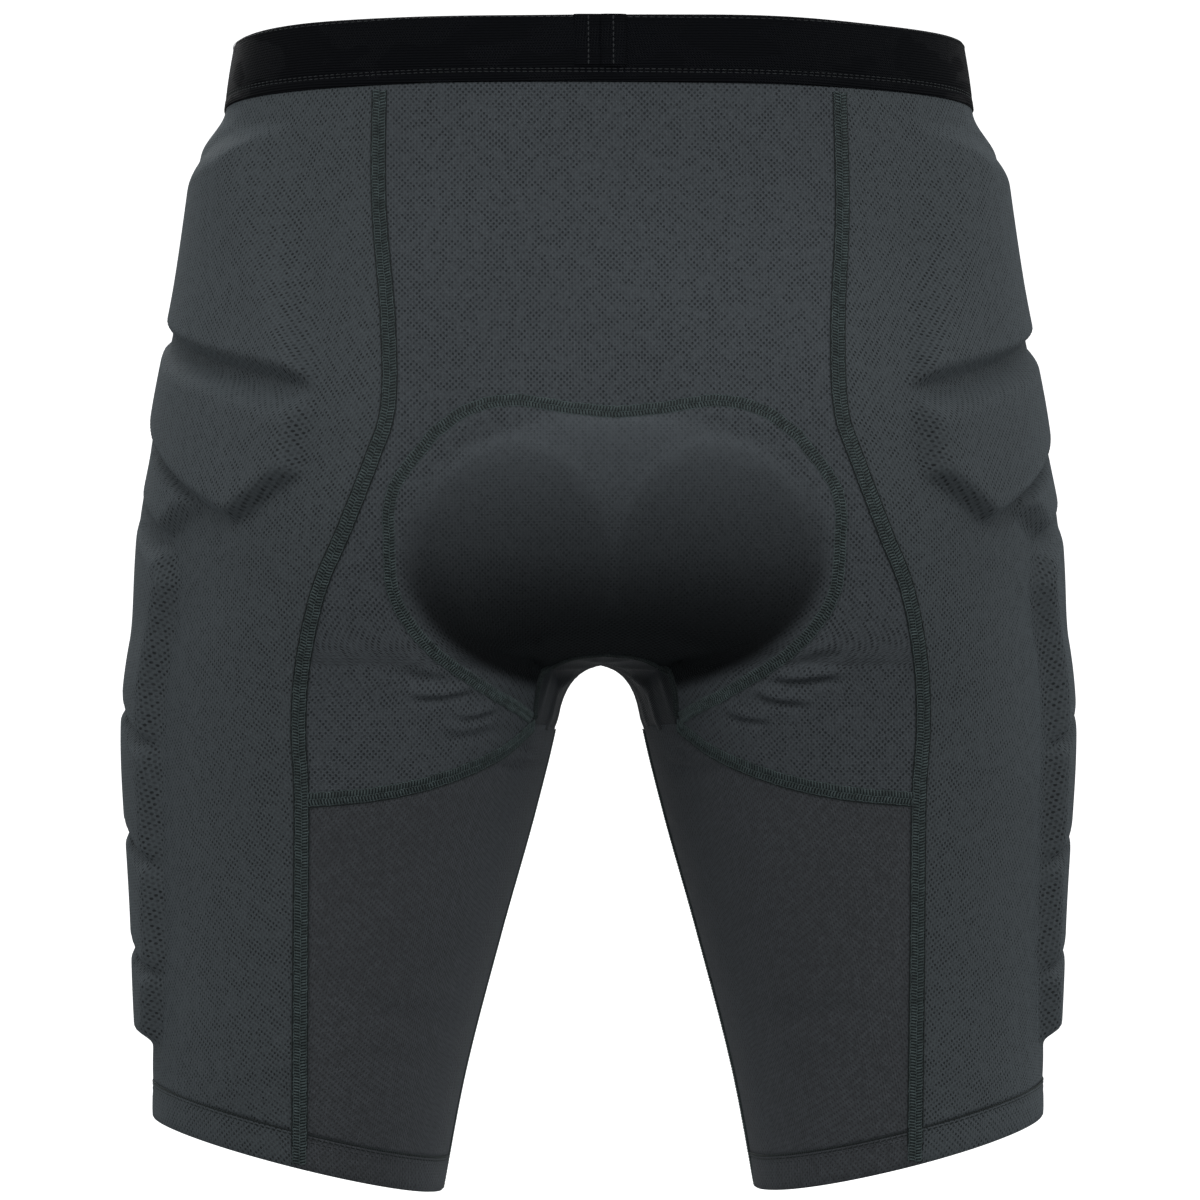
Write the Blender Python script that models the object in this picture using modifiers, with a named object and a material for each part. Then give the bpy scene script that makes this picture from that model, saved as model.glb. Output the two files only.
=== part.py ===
"""Padded impact shorts: knit panels, foam pads, a waistband and seams around one body form.

Metres, +Z up. The wearer faces +Y, so the back of the shorts faces -Y and the wearer's
right side is +X. The origin is under the middle, level with the lowest point of the hems.

Every piece lies on the body form, the skin that the shorts are stretched over. A place on
the right half of the skin is (turn, height): the turn is measured around the leg's own
axis, in degrees, from straight out (0) back to -180 or forward to 180.
"""

import bpy
import numpy as np

# ---- the body form: (height, half-width or depth) -----------------------------------
LEG_OUTER = [(0, 0.186), (0.10, 0.187), (0.21, 0.189), (0.27, 0.176), (0.33, 0.150), (0.42, 0.105)]
LEG_INNER = [(0, 0.066), (0.05, 0.057), (0.11, 0.041), (0.16, 0.027), (0.20, 0.0155), (0.25, 0.004)]
LEG_BACK = [(0, -0.058), (0.10, -0.075), (0.20, -0.094), (0.26, -0.111), (0.30, -0.111), (0.42, -0.070)]
LEG_FRONT = [(0, 0.075), (0.10, 0.089), (0.20, 0.103), (0.28, 0.099), (0.42, 0.060)]
HIP_SIDE = [(0.205, 0.120), (0.235, 0.160), (0.27, 0.180), (0.31, 0.179), (0.38, 0.1665), (0.44, 0.157),
            (0.49, 0.148)]
HIP_BACK = [(0.205, 0.017), (0.2176, 0.027), (0.228, 0.065), (0.245, 0.091), (0.27, 0.109), (0.31, 0.118),
            (0.36, 0.110), (0.43, 0.093), (0.49, 0.086)]
HIP_FRONT = [(0.205, 0.043), (0.2176, 0.053), (0.228, 0.079), (0.25, 0.101), (0.30, 0.114), (0.38, 0.119),
             (0.44, 0.117), (0.49, 0.115)]
AXIS = [(0, 0.1255), (0.10, 0.114), (0.20, 0.101), (0.30, 0.087), (0.40, 0.080), (0.49, 0.074)]
AXIS_Y = 0.006
CROTCH = 0.2276          # where the hip's underside would be flat
HIP_ROUNDNESS = 2.35     # exponent of the hip's cross-section: 2 is an ellipse
LEG_TO_HIP = 0.030       # how wide the legs blend into the hip
UNDERSIDE = 0.020        # how softly the hip turns under

# ---- edges: (x, height) on the right half, seen from behind or from the front -------
BACK_SEAM = [(0.093, 0.470), (0.0937, 0.41), (0.0903, 0.36), (0.0905, 0.325), (0.0968, 0.3045),
             (0.108, 0.276), (0.118, 0.252), (0.1245, 0.222), (0.1262, 0.195), (0.125, 0.167),
             (0.1255, 0.10), (0.1262, 0)]
FRONT_SEAM = [(0.088, 0.465), (0.086, 0.40), (0.084, 0.35), (0.087, 0.31), (0.097, 0.27), (0.108, 0.235),
              (0.114, 0.20), (0.116, 0.167), (0.117, 0.10), (0.118, 0)]
CROSS_HEIGHT = 0.167
CROSS_SEAM = [(0.094, 0.170), (0.069, 0.1755), (0.0435, 0.185), (0.0265, 0.1965)]
GUSSET_SIDE = [(0.0265, 0.1965), (0.0285, 0.209), (0.026, 0.2185)]
GUSSET_BACK = [(0.026, 0.2185), (0.014, 0.2245), (0, 0.2262)]
GUSSET_SHARES = [0, 0.22, 0.44, 0.72, 1]     # where its edge and the panels' edges have points
GUSSET_AXIS = 0.190      # a line between the legs that the gusset's arch is measured from
SEAT_TOP = [(0, 0.3226), (0.018, 0.3243), (0.041, 0.3274), (0.059, 0.3235), (0.0726, 0.314)]
SEAT_SIDE = [(0.0726, 0.314), (0.0884, 0.292), (0.0902, 0.270), (0.0875, 0.248), (0.073, 0.228),
             (0.0485, 0.2105), (0.034, 0.203)]
SEAT_BASE_SIDE = [(0.033, 0.223), (0.050, 0.217), (0.070, 0.230), (0.084, 0.250), (0.0868, 0.270),
                  (0.085, 0.291), (0.070, 0.312)]
SEAT_BASE_TOP = [(0, 0.3196), (0.018, 0.3213), (0.041, 0.3242), (0.057, 0.3205), (0.070, 0.312)]
SEAT_BASE_FOOT = [(0, 0.231), (0.018, 0.2285), (0.033, 0.223)]
LOBE_INNER = [(0.007, 0.240), (0.006, 0.270), (0.014, 0.296)]
LOBE_TOP = [(0.014, 0.296), (0.030, 0.3065), (0.046, 0.308), (0.062, 0.301), (0.074, 0.284)]
LOBE_OUTER = [(0.042, 0.229), (0.062, 0.238), (0.074, 0.256), (0.0765, 0.270), (0.074, 0.284)]
LOBE_FOOT = [(0.007, 0.240), (0.024, 0.234), (0.042, 0.229)]

# ---- waistband and hems --------------------------------------------------------------
WAIST_HEIGHT = 0.4535    # the waistband's lower edge at the side
WAIST_TILT = 0.05        # how much lower it gets towards the front
BAND_HEIGHT = 0.027
BAND_THICK = 0.0016
TAB_X = (-0.0135, 0.0055)
TAB_THICK = 0.0009
HEM_INNER_X = 0.066      # the hems are lowest here
HEM_TILT = 0.258         # and rise this much towards the outside
HEM_HEIGHT = 0.0155
HEM_THICK = 0.0016

# ---- fabric, seams and pads ----------------------------------------------------------
FABRIC = 0.0008
SEAM_GAP = 0.0015        # how far a panel stops from the middle of its seam
EDGE_GAP = 0.0006        # between a panel and the waistband or hem
SEAM_WIDTH = 0.0058
SEAM_THICK = 0.0007
SEAM_LIFT = 0.0016
BULGE = 0.0100           # how far the side panels stand out over the pads
PAD_FOOT = 0.0011        # the pads' inner face, above the skin
PAD_EDGE = 0.0045        # the pads' outer face at its rim
PAD_TOP = 0.0080         # and inside the rim
PAD_RIM = 0.006          # how wide the sloping rim is
PAD_CELL_ACROSS = 0.015  # the blocks' grid, fine enough to follow the skin
PAD_CELL_UP = 0.03
GUSSET_SEAM = 0.0036
GUSSET_LIFT = 0.0027
GUSSET_SEAM_START = 0.5  # it starts halfway up the gusset edge's first stretch
SEAT_LIFT = 0.0018
LINING_LIFT = -0.0005
LINING_THICK = 0.0007
LOBE_LIFT = -0.0022
LOBE_THICK = 0.0052
BASE_LIFT = -0.0086
BASE_THICK = 0.0010

# ---- pads: corners as (turn, height): low back, low front, high front, high back, and any
# further corner down the back side -----------------------------------------------------
HIP_PADS = {
    "hip_pad_upper": [(-64, 0.341), (8, 0.361), (6, 0.439), (-51, 0.436)],
    "hip_pad_middle": [(-45, 0.281), (6, 0.311), (8, 0.351), (-65, 0.331), (-64, 0.309)],
    "hip_pad_lower": [(-27, 0.264), (10, 0.268), (9, 0.303), (-38, 0.2765)],
    "hip_pad_front": [(16, 0.305), (52, 0.318), (50, 0.415), (14, 0.432)],
}
THIGH_BACK = -28
THIGH_FRONT = 42
THIGH_BREAKS = [0.068, 0.111, 0.147, 0.197, 0.252]
THIGH_GAP = 0.003

# ---- colours (linear) and roughness --------------------------------------------------
COLOURS = {
    "mesh_knit": ((0.047, 0.053, 0.058), 0.85),
    "plain_knit": ((0.028, 0.032, 0.036), 0.80),
    "gusset_knit": ((0.014, 0.016, 0.018), 0.60),
    "elastic": ((0.006, 0.007, 0.008), 0.75),
    "seam_thread": ((0.032, 0.042, 0.045), 0.65),
    "foam": ((0.030, 0.030, 0.033), 0.90),
    "lining": ((0.020, 0.021, 0.024), 0.85),
}

PARTS = "padded_impact_shorts"


# ---- the body form -------------------------------------------------------------------
def profile(points, heights):
    """A smooth curve through (height, value) points, read at the given heights."""
    at, value = np.array(points, float).T
    heights = np.clip(heights, at[0], at[-1])
    secant = np.diff(value) / np.diff(at)
    slope = np.concatenate([secant[:1], (secant[1:] + secant[:-1]) / 2, secant[-1:]])
    i = np.clip(np.searchsorted(at, heights) - 1, 0, len(at) - 2)
    span = at[i + 1] - at[i]
    t = (heights - at[i]) / span
    ends = value[i] * (1 + 2 * t) * (1 - t) ** 2 + value[i + 1] * t * t * (3 - 2 * t)
    return ends + span * t * (1 - t) * (slope[i] * (1 - t) - slope[i + 1] * t)


def soft_union(a, b, width):
    near = np.maximum(width - np.abs(a - b), 0) / width
    return np.minimum(a, b) - near * near * width / 4


def form(points):
    """Below zero inside the wearer's body and above zero outside, about in metres."""
    x, y, z = np.abs(points[..., 0]), points[..., 1], points[..., 2]
    outer, inner = profile(LEG_OUTER, z), profile(LEG_INNER, z)
    back, front = profile(LEG_BACK, z), profile(LEG_FRONT, z)
    wide, deep = (outer - inner) / 2, (front - back) / 2
    leg = np.hypot((x - (outer + inner) / 2) / wide, (y - (front + back) / 2) / deep) - 1
    leg = leg * np.minimum(wide, deep)
    depth = np.where(y < AXIS_Y, profile(HIP_BACK, z) + AXIS_Y, profile(HIP_FRONT, z) - AXIS_Y)
    across = (x / profile(HIP_SIDE, z)) ** HIP_ROUNDNESS
    hip = (across + (np.abs(y - AXIS_Y) / depth) ** HIP_ROUNDNESS) ** (1 / HIP_ROUNDNESS) - 1
    hip = -soft_union(-0.1 * hip, z - CROTCH, UNDERSIDE)
    return soft_union(leg, hip, LEG_TO_HIP)


def reach(start, direction):
    """The first place where each ray from start crosses the form."""
    start, direction = np.broadcast_arrays(start, direction)
    inside = form(start) < 0
    near = np.zeros(inside.shape)
    going = np.ones(inside.shape, bool)
    stride = 0.004
    for _ in range(70):
        ahead = start + direction * (near + stride)[..., None]
        going &= (form(ahead) < 0) == inside
        near = np.where(going, near + stride, near)
    far = near + stride
    for _ in range(24):
        middle = (near + far) / 2
        same = (form(start + direction * middle[..., None]) < 0) == inside
        near, far = np.where(same, middle, near), np.where(same, far, middle)
    return start + direction * near[..., None]


def skin(turn, height):
    """The point of the right half's skin at a turn, in degrees, and a height."""
    turn, height = np.broadcast_arrays(np.radians(turn), np.asarray(height, float))
    start = np.stack([profile(AXIS, height), np.full(height.shape, AXIS_Y), height], -1)
    return reach(start, np.stack([np.cos(turn), np.sin(turn), np.zeros(height.shape)], -1))


def facing(x, height, side):
    """The skin's point behind (side -1) or in front of (side 1) a place seen flat on."""
    x, height = np.broadcast_arrays(np.asarray(x, float), np.asarray(height, float))
    start = np.stack([x, np.full(x.shape, AXIS_Y), height], -1)
    return reach(start, np.array([0.0, side, 0.0]))


def turn_of(points):
    """The (turn, height) of points on the right half."""
    turn = np.degrees(np.arctan2(points[..., 1] - AXIS_Y, points[..., 0] - profile(AXIS, points[..., 2])))
    return np.stack([turn, points[..., 2]], -1)


def normal(points):
    """The form's outward direction at each point."""
    step = 0.0005
    shifts = np.eye(3) * step
    slope = np.stack([form(points + s) - form(points - s) for s in shifts], -1)
    return slope / np.linalg.norm(slope, axis=-1, keepdims=True)


# ---- curves and patches --------------------------------------------------------------
def spaced(points, shares):
    """A smooth curve through the points, read at shares of its length."""
    points = np.asarray(points, float)
    knots = np.arange(len(points))
    fine = np.linspace(0, len(points) - 1, 40 * len(points))
    curve = np.stack([profile(list(zip(knots, c)), fine) for c in points.T], -1)
    run = np.concatenate([[0], np.cumsum(np.linalg.norm(np.diff(curve, axis=0), axis=1))])
    at = np.asarray(shares) * run[-1]
    return np.stack([np.interp(at, run, c) for c in curve.T], -1)


def part_of(points, low, high, count=60):
    """The stretch of an edge between two heights, as closely spaced points."""
    line = spaced(points, np.linspace(0, 1, 400))
    line = line[np.argsort(line[:, 1])]
    heights = np.linspace(low, high, count)
    return np.stack([np.interp(heights, line[:, 1], line[:, 0]), heights], -1)


def chain(*curves):
    """Curves that meet end to end, as one."""
    return np.concatenate([curves[0]] + [np.asarray(c, float)[1:] for c in curves[1:]])


def read(line, shares):
    """Places at shares of the length of a closely spaced line."""
    run = np.concatenate([[0], np.cumsum(np.linalg.norm(np.diff(line, axis=0), axis=1))])
    at = np.asarray(shares) * run[-1]
    return np.stack([np.interp(at, run, c) for c in line.T], -1)


def patch(bottom, top, left, right, across, up):
    """A grid blended between four edges, in the edges' own coordinates."""
    u, v = across[None, :, None], up[:, None, None]
    b, t = bottom[None], top[None]
    le, r = left[:, None], right[:, None]
    corners = (1 - v) * ((1 - u) * b[:, :1] + u * b[:, -1:]) + v * ((1 - u) * t[:, :1] + u * t[:, -1:])
    return (1 - v) * b + v * t + (1 - u) * le + u * r - corners


def trimmed(grid, bottom=0.0, top=0.0, left=0.0, right=0.0):
    """The grid with its outer rows and columns drawn in by these distances."""
    grid = grid.copy()
    turned = grid.swapaxes(0, 1)
    for rows, gap in ((grid, bottom), (grid[::-1], top), (turned, left), (turned[::-1], right)):
        inward = rows[1] - rows[0]
        rows[0] += inward / np.linalg.norm(inward, axis=-1, keepdims=True) * gap
    return grid


def lifted(points, lift):
    return points + normal(points) * np.asarray(lift)[..., None]


def mirrored(points):
    return points * np.array([-1.0, 1.0, 1.0])


# ---- making objects ------------------------------------------------------------------
def clear_scene():
    for obj in list(bpy.data.objects):
        bpy.data.objects.remove(obj, do_unlink=True)


def material(kind):
    if kind in bpy.data.materials:
        return bpy.data.materials[kind]
    colour, roughness = COLOURS[kind]
    made = bpy.data.materials.new(kind)
    made.use_nodes = True
    shader = made.node_tree.nodes["Principled BSDF"]
    shader.inputs["Base Color"].default_value = (*colour, 1)
    shader.inputs["Roughness"].default_value = roughness
    shader.inputs["Metallic"].default_value = 0
    made.diffuse_color = (*colour, 1)
    return made


def add_object(name, points, faces, kind):
    mesh = bpy.data.meshes.new(name)
    mesh.from_pydata([tuple(p) for p in points], [], faces)
    mesh.validate()
    mesh.shade_smooth()
    mesh.materials.append(material(kind))
    obj = bpy.data.objects.new(name, mesh)
    bpy.data.collections[PARTS].objects.link(obj)
    return obj


def grid_faces(rows, columns, closed=False):
    faces = []
    for i in range(rows - 1):
        for j in range(columns if closed else columns - 1):
            k = (j + 1) % columns
            faces.append((i * columns + j, i * columns + k, (i + 1) * columns + k, (i + 1) * columns + j))
    return faces


def outward(grid):
    """The grid with its columns reversed if its faces would point into the body."""
    across, up = grid[0, 1] - grid[0, 0], grid[1, 0] - grid[0, 0]
    return grid if np.dot(np.cross(across, up), normal(grid[0, 0])) > 0 else grid[:, ::-1]


def sheet(name, grid, thickness, kind, offset=1.0, closed=False):
    """A sheet of fabric on a grid of points: offset 1 thickens it outwards and -1 inwards."""
    grid = outward(grid)
    rows, columns = grid.shape[:2]
    obj = add_object(name, grid.reshape(-1, 3), grid_faces(rows, columns, closed), kind)
    solid = obj.modifiers.new("thickness", "SOLIDIFY")
    solid.thickness = thickness
    solid.offset = offset
    solid.use_even_offset = True
    return obj


def both_sides(name, grid, thickness, kind, offset=1.0, closed=False):
    sheet("right_" + name, grid, thickness, kind, offset, closed)
    sheet("left_" + name, mirrored(grid), thickness, kind, offset, closed)


def ribbon(name, path, width=SEAM_WIDTH, lift=SEAM_LIFT):
    """A flat seam along points of the skin."""
    out = normal(path)
    along = np.gradient(path, axis=0)
    side = np.cross(out, along)
    side = side / np.linalg.norm(side, axis=1, keepdims=True) * width / 2
    middle = path + out * lift
    sheet(name, np.stack([middle - side, middle + side]), SEAM_THICK, "seam_thread")


# ---- edges on the skin ---------------------------------------------------------------
def level(turn, rule):
    """(turn, height) where a rule of the skin's point sets the height."""
    turn = np.asarray(turn, float)
    height = np.full(turn.shape, 0.02 if rule is hem_line or rule is hem_top else WAIST_HEIGHT)
    for _ in range(6):
        height = rule(skin(turn, height))
    return np.stack([turn, height], -1)


def hem_line(points):
    return np.maximum((points[..., 0] - HEM_INNER_X) * HEM_TILT, 0)


def hem_top(points):
    return hem_line(points) + HEM_HEIGHT


def waist_line(points):
    return WAIST_HEIGHT - WAIST_TILT * points[..., 1]


def waist_top(points):
    return waist_line(points) + BAND_HEIGHT


def middle_turn(height, side):
    """The turn of the middle of the back (side -1) or front (side 1)."""
    return turn_of(facing(np.zeros(np.shape(height)), height, side))[..., 0]


def seam_on(edge, side, low, high):
    """A long seam between two heights, as (turn, height)."""
    flat = part_of(edge, low, high)
    return turn_of(facing(flat[:, 0], flat[:, 1], side))


def meets(line, rule):
    """Cuts a rising (turn, height) line at the hem or waist edge that the rule gives."""
    heights = rule(skin(line[:, 0], line[:, 1]))
    above = line[:, 1] - heights
    at = np.interp(0, above, np.arange(len(line)))
    return np.array([np.interp(at, np.arange(len(line)), c) for c in line.T])


def long_seam(edge, side):
    """A long seam from the hem's top edge to the waistband, as (turn, height)."""
    whole = seam_on(edge, side, 0.012, 0.462)
    foot, head = meets(whole, hem_top), meets(whole, waist_line)
    between = whole[(whole[:, 1] > foot[1] + 0.002) & (whole[:, 1] < head[1] - 0.002)]
    return np.concatenate([[foot], between, [head]])


def cross_line(edge, side):
    """The cross seam from the long seam to the gusset's corner, as (x, height)."""
    start = part_of(edge, CROSS_HEIGHT, CROSS_HEIGHT, 1)
    return spaced(np.concatenate([start, CROSS_SEAM]), np.linspace(0, 1, 40))


def gusset_line():
    """The gusset's edge from its lower corner to the middle, as (x, height)."""
    side = spaced(GUSSET_SIDE, np.linspace(0, 1, 20))
    return chain(side, spaced(GUSSET_BACK, np.linspace(0, 1, 20)))


# ---- panels --------------------------------------------------------------------------
def centre_panel(name, edge, side):
    """The panel between the two long seams, down to the cross seams and the gusset."""
    across_leg = read(cross_line(edge, side), np.linspace(1, 0, 7))
    bottom = chain(read(gusset_line(), GUSSET_SHARES)[::-1], across_leg)
    run = np.concatenate([[0], np.cumsum(np.linalg.norm(np.diff(bottom, axis=0), axis=1))])
    across, up = run / run[-1], np.linspace(0, 1, 15) ** 1.2
    head = meets(seam_on(edge, side, CROSS_HEIGHT, 0.462), waist_line)[1]
    right = read(part_of(edge, CROSS_HEIGHT, head), up)
    top = waist_across(right[-1, 0] * across, side)
    left = np.stack([np.zeros(len(up)), bottom[0, 1] + (top[0, 1] - bottom[0, 1]) * up], -1)
    places = patch(bottom, top, left, right, across, up)
    half = facing(places[..., 0], places[..., 1], side)
    half = trimmed(half, bottom=SEAM_GAP, top=EDGE_GAP, right=SEAM_GAP)
    whole = np.concatenate([mirrored(half[:, :0:-1]), half], 1)
    sheet(name, whole, FABRIC, "mesh_knit")


def waist_across(x, side):
    """The waistband's lower edge as (x, height), behind or in front."""
    height = np.full(x.shape, WAIST_HEIGHT)
    for _ in range(4):
        height = waist_line(facing(x, height, side))
    return np.stack([x, height], -1)


def bulge(across, turn, height):
    """How far the side panel stands out over the pads, from 0 to 1."""
    starts = profile([(0.05, -60), (0.23, -60), (0.31, -110), (0.46, -110)], height)
    seams_away = np.minimum(across, 1 - across)
    sideways = np.clip(np.minimum((turn - starts) / 14, (seams_away - 0.063) / 0.045), 0, 1)
    upward = np.clip(np.minimum((height - 0.046) / 0.014, (0.4495 - height) / 0.009), 0, 1)
    return sideways * upward


def side_panel():
    across = np.array([0, 0.062, *np.linspace(0.115, 0.885, 12), 0.938, 1])
    up = np.array([0, 0.02, *np.linspace(0.068, 0.93, 13), 0.965, 0.99, 1])
    left = read(long_seam(BACK_SEAM, -1) / [1000, 1], up) * [1000, 1]
    right = read(long_seam(FRONT_SEAM, 1) / [1000, 1], up) * [1000, 1]
    bottom = level(left[0, 0] + (right[0, 0] - left[0, 0]) * across, hem_top)
    top = level(left[-1, 0] + (right[-1, 0] - left[-1, 0]) * across, waist_line)
    places = patch(bottom, top, left, right, across, up)
    grid = skin(places[..., 0], places[..., 1])
    grid = trimmed(grid, EDGE_GAP, EDGE_GAP, SEAM_GAP, SEAM_GAP)
    grid = lifted(grid, BULGE * bulge(across, places[..., 0], places[..., 1]))
    both_sides("side_panel", grid, FABRIC, "mesh_knit")


def inner_panel(name, edge, side):
    """The panel inside the leg, from a long seam to the inside leg seam."""
    across, up = np.linspace(0, 1, 8), np.linspace(0, 1, 8)
    seam = seam_on(edge, side, 0.012, CROSS_HEIGHT)
    foot = meets(seam, hem_top)
    left = read(np.concatenate([[foot], seam[seam[:, 1] > foot[1] + 0.002]]) / [1000, 1], up) * [1000, 1]
    flat = cross_line(edge, side)
    high = turn_of(facing(flat[:, 0], flat[:, 1], side))
    inside = np.array([180.0 * side, gusset_foot_height()])
    top = read(np.concatenate([high, [inside]]) / [1000, 1], across) * [1000, 1]
    bottom = level(left[0, 0] + (inside[0] - left[0, 0]) * across, hem_top)
    right = np.stack([np.full(len(up), inside[0]), bottom[-1, 1] + (inside[1] - bottom[-1, 1]) * up], -1)
    places = patch(bottom, top, left, right, across, up)
    grid = skin(places[..., 0], places[..., 1])
    grid = trimmed(grid, EDGE_GAP, SEAM_GAP, SEAM_GAP, SEAM_GAP)
    both_sides(name, grid, FABRIC, "plain_knit")


# ---- the gusset ----------------------------------------------------------------------
def arch(swing, y):
    """The skin between the legs, at a swing from straight up, in degrees, and a depth."""
    swing, y = np.broadcast_arrays(np.radians(swing), np.asarray(y, float))
    start = np.stack([np.zeros(y.shape), y, np.full(y.shape, GUSSET_AXIS)], -1)
    return reach(start, np.stack([np.sin(swing), np.zeros(y.shape), np.cos(swing)], -1))


def gusset_edge(side, shares):
    """The gusset's back or front edge on the right half, as (swing, y)."""
    flat = read(gusset_line(), shares)
    points = facing(flat[:, 0], flat[:, 1], side)
    swing = np.degrees(np.arctan2(points[:, 0], points[:, 2] - GUSSET_AXIS))
    return np.stack([swing, points[:, 1]], -1)


def gusset_foot_height():
    swing = gusset_edge(-1, np.array([0.0]))[0, 0]
    return float(arch(swing, AXIS_Y)[2])


def gusset():
    along = np.linspace(0, 1, 8)
    back, front = gusset_edge(-1, GUSSET_SHARES), gusset_edge(1, GUSSET_SHARES)
    swing = back[:, 0] + (front[:, 0] - back[:, 0]) * along[:, None]
    y = back[:, 1] + (front[:, 1] - back[:, 1]) * along[:, None]
    half = arch(swing, y)
    half[:, -1, 0] = 0
    half = trimmed(half, bottom=SEAM_GAP, top=SEAM_GAP, left=SEAM_GAP)
    whole = np.concatenate([half, mirrored(half[:, -2::-1])], 1)
    sheet("crotch_gusset", whole, FABRIC, "gusset_knit")


# ---- waistband and hems --------------------------------------------------------------
def waistband():
    at = np.array([WAIST_HEIGHT])
    turns = np.linspace(middle_turn(at, -1)[0], middle_turn(at, 1)[0], 17)
    places = np.stack([level(turns, waist_line), level(turns, waist_top)])
    half = skin(places[..., 0], places[..., 1])
    half[:, [0, -1], 0] = 0
    ring = np.concatenate([half, mirrored(half[:, -2:0:-1])], 1)
    sheet("waistband", ring, BAND_THICK, "elastic", offset=0.0, closed=True)


def waistband_tab():
    x = np.linspace(*TAB_X, 4)
    low = facing(x, np.full(4, WAIST_HEIGHT + 0.0055), -1)
    high = facing(x, np.full(4, WAIST_HEIGHT + 0.0305), -1)
    sheet("waistband_join_tab", lifted(np.stack([low, high]), 0.0011), TAB_THICK, "elastic")


def hem():
    turns = np.linspace(-180, 180, 29)[:-1]
    places = np.stack([level(turns, hem_line), level(turns, hem_top)])
    both_sides("hem", skin(places[..., 0], places[..., 1]), HEM_THICK, "plain_knit", offset=0.0, closed=True)


# ---- seat pad ------------------------------------------------------------------------
def seat_grid(foot, head, inner, outer, across, up):
    sides = spaced(inner, up), spaced(outer, up)
    places = patch(spaced(foot, across), spaced(head, across), *sides, across, up)
    return facing(places[..., 0], places[..., 1], -1)


def seat_pad():
    even = np.linspace(0, 1, 8)
    middle = [(0, SEAT_BASE_FOOT[0][1]), (0, SEAT_BASE_TOP[0][1])]
    half = seat_grid(SEAT_BASE_FOOT, SEAT_BASE_TOP, middle, SEAT_BASE_SIDE, even, even)
    half[:, 0, 0] = 0
    whole = np.concatenate([mirrored(half[:, :0:-1]), half], 1)
    sheet("seat_pad_base", lifted(whole, BASE_LIFT), BASE_THICK, "lining", offset=-1.0)
    lobe = seat_grid(LOBE_FOOT, LOBE_TOP, LOBE_INNER, LOBE_OUTER, even, even)
    both_sides("seat_foam", lifted(lobe, LOBE_LIFT), LOBE_THICK, "foam", offset=-1.0)


# ---- side pads -----------------------------------------------------------------------
def rimmed(length, cell):
    """Shares of a side, with a narrow rim at each end and about one cell between the others."""
    rim = PAD_RIM / length
    inside = np.linspace(rim, 1 - rim, max(1, round(length / cell)) + 1)
    return np.array([0, *inside, 1])


def block(name, corners):
    """A foam block with a sloping rim, between corners given as (turn, height)."""
    low_back, low_front, high_front, high_back = [np.array(c, float) for c in corners[:4]]
    back_side = np.array([low_back, *corners[:3:-1], high_back])
    size = skin(*np.array([low_back, low_front, high_back]).T)
    across = rimmed(np.linalg.norm(size[1] - size[0]), PAD_CELL_ACROSS)
    up = rimmed(np.linalg.norm(size[2] - size[0]), PAD_CELL_UP)
    bottom = low_back + (low_front - low_back) * across[:, None]
    top = high_back + (high_front - high_back) * across[:, None]
    right = low_front + (high_front - low_front) * up[:, None]
    left = np.stack([np.interp(up, np.linspace(0, 1, len(back_side)), c) for c in back_side.T], -1)
    places = patch(bottom, top, left, right, across, up)
    ground = skin(places[..., 0], places[..., 1])
    high = np.full(ground.shape[:2], PAD_TOP)
    high[[0, -1], :] = PAD_EDGE
    high[:, [0, -1]] = PAD_EDGE
    outer = lifted(ground, high)
    inner = lifted(ground, PAD_FOOT)
    closed_block("right_" + name, outer, inner)
    closed_block("left_" + name, mirrored(outer)[:, ::-1], mirrored(inner)[:, ::-1])


def closed_block(name, outer, inner):
    """One closed body between an outer and an inner grid."""
    rows, columns = outer.shape[:2]
    count = rows * columns
    top = grid_faces(rows, columns)
    under = [tuple(count + i for i in face[::-1]) for face in top]
    rim = list(range(columns))
    rim += [i * columns + columns - 1 for i in range(1, rows)]
    rim += [(rows - 1) * columns + j for j in range(columns - 2, -1, -1)]
    rim += [i * columns for i in range(rows - 2, 0, -1)]
    walls = [(b, a, count + a, count + b) for a, b in zip(rim, rim[1:] + rim[:1])]
    points = np.concatenate([outer.reshape(-1, 3), inner.reshape(-1, 3)])
    add_object(name, points, top + under + walls, "foam")


def side_pads():
    for name, corners in HIP_PADS.items():
        block(name, corners)
    for number, (low, high) in enumerate(zip(THIGH_BREAKS, THIGH_BREAKS[1:])):
        low, high = low + THIGH_GAP / 2, high - THIGH_GAP / 2
        corners = [(THIGH_BACK, low), (THIGH_FRONT, low), (THIGH_FRONT, high), (THIGH_BACK, high)]
        block(f"thigh_pad_{len(THIGH_BREAKS) - 1 - number}", corners)


def pad_lining():
    """The inner layer that holds the side pads against the side panel."""
    heights = np.linspace(0.056, 0.444, 12)
    back = profile([(0.05, -48), (0.24, -48), (0.31, -74), (0.46, -62)], heights)
    turns = back[:, None] + (62 - back[:, None]) * np.linspace(0, 1, 8)
    grid = skin(turns, heights[:, None])
    both_sides("pad_lining", lifted(grid, LINING_LIFT), LINING_THICK, "lining", offset=-1.0)


# ---- seams ---------------------------------------------------------------------------
def between(path, start, end, count):
    """Points along a path of the skin, leaving out a length at each end."""
    run = np.linalg.norm(np.diff(path, axis=0), axis=1).sum()
    return read(path, np.linspace(start / run, 1 - end / run, count))


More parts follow.
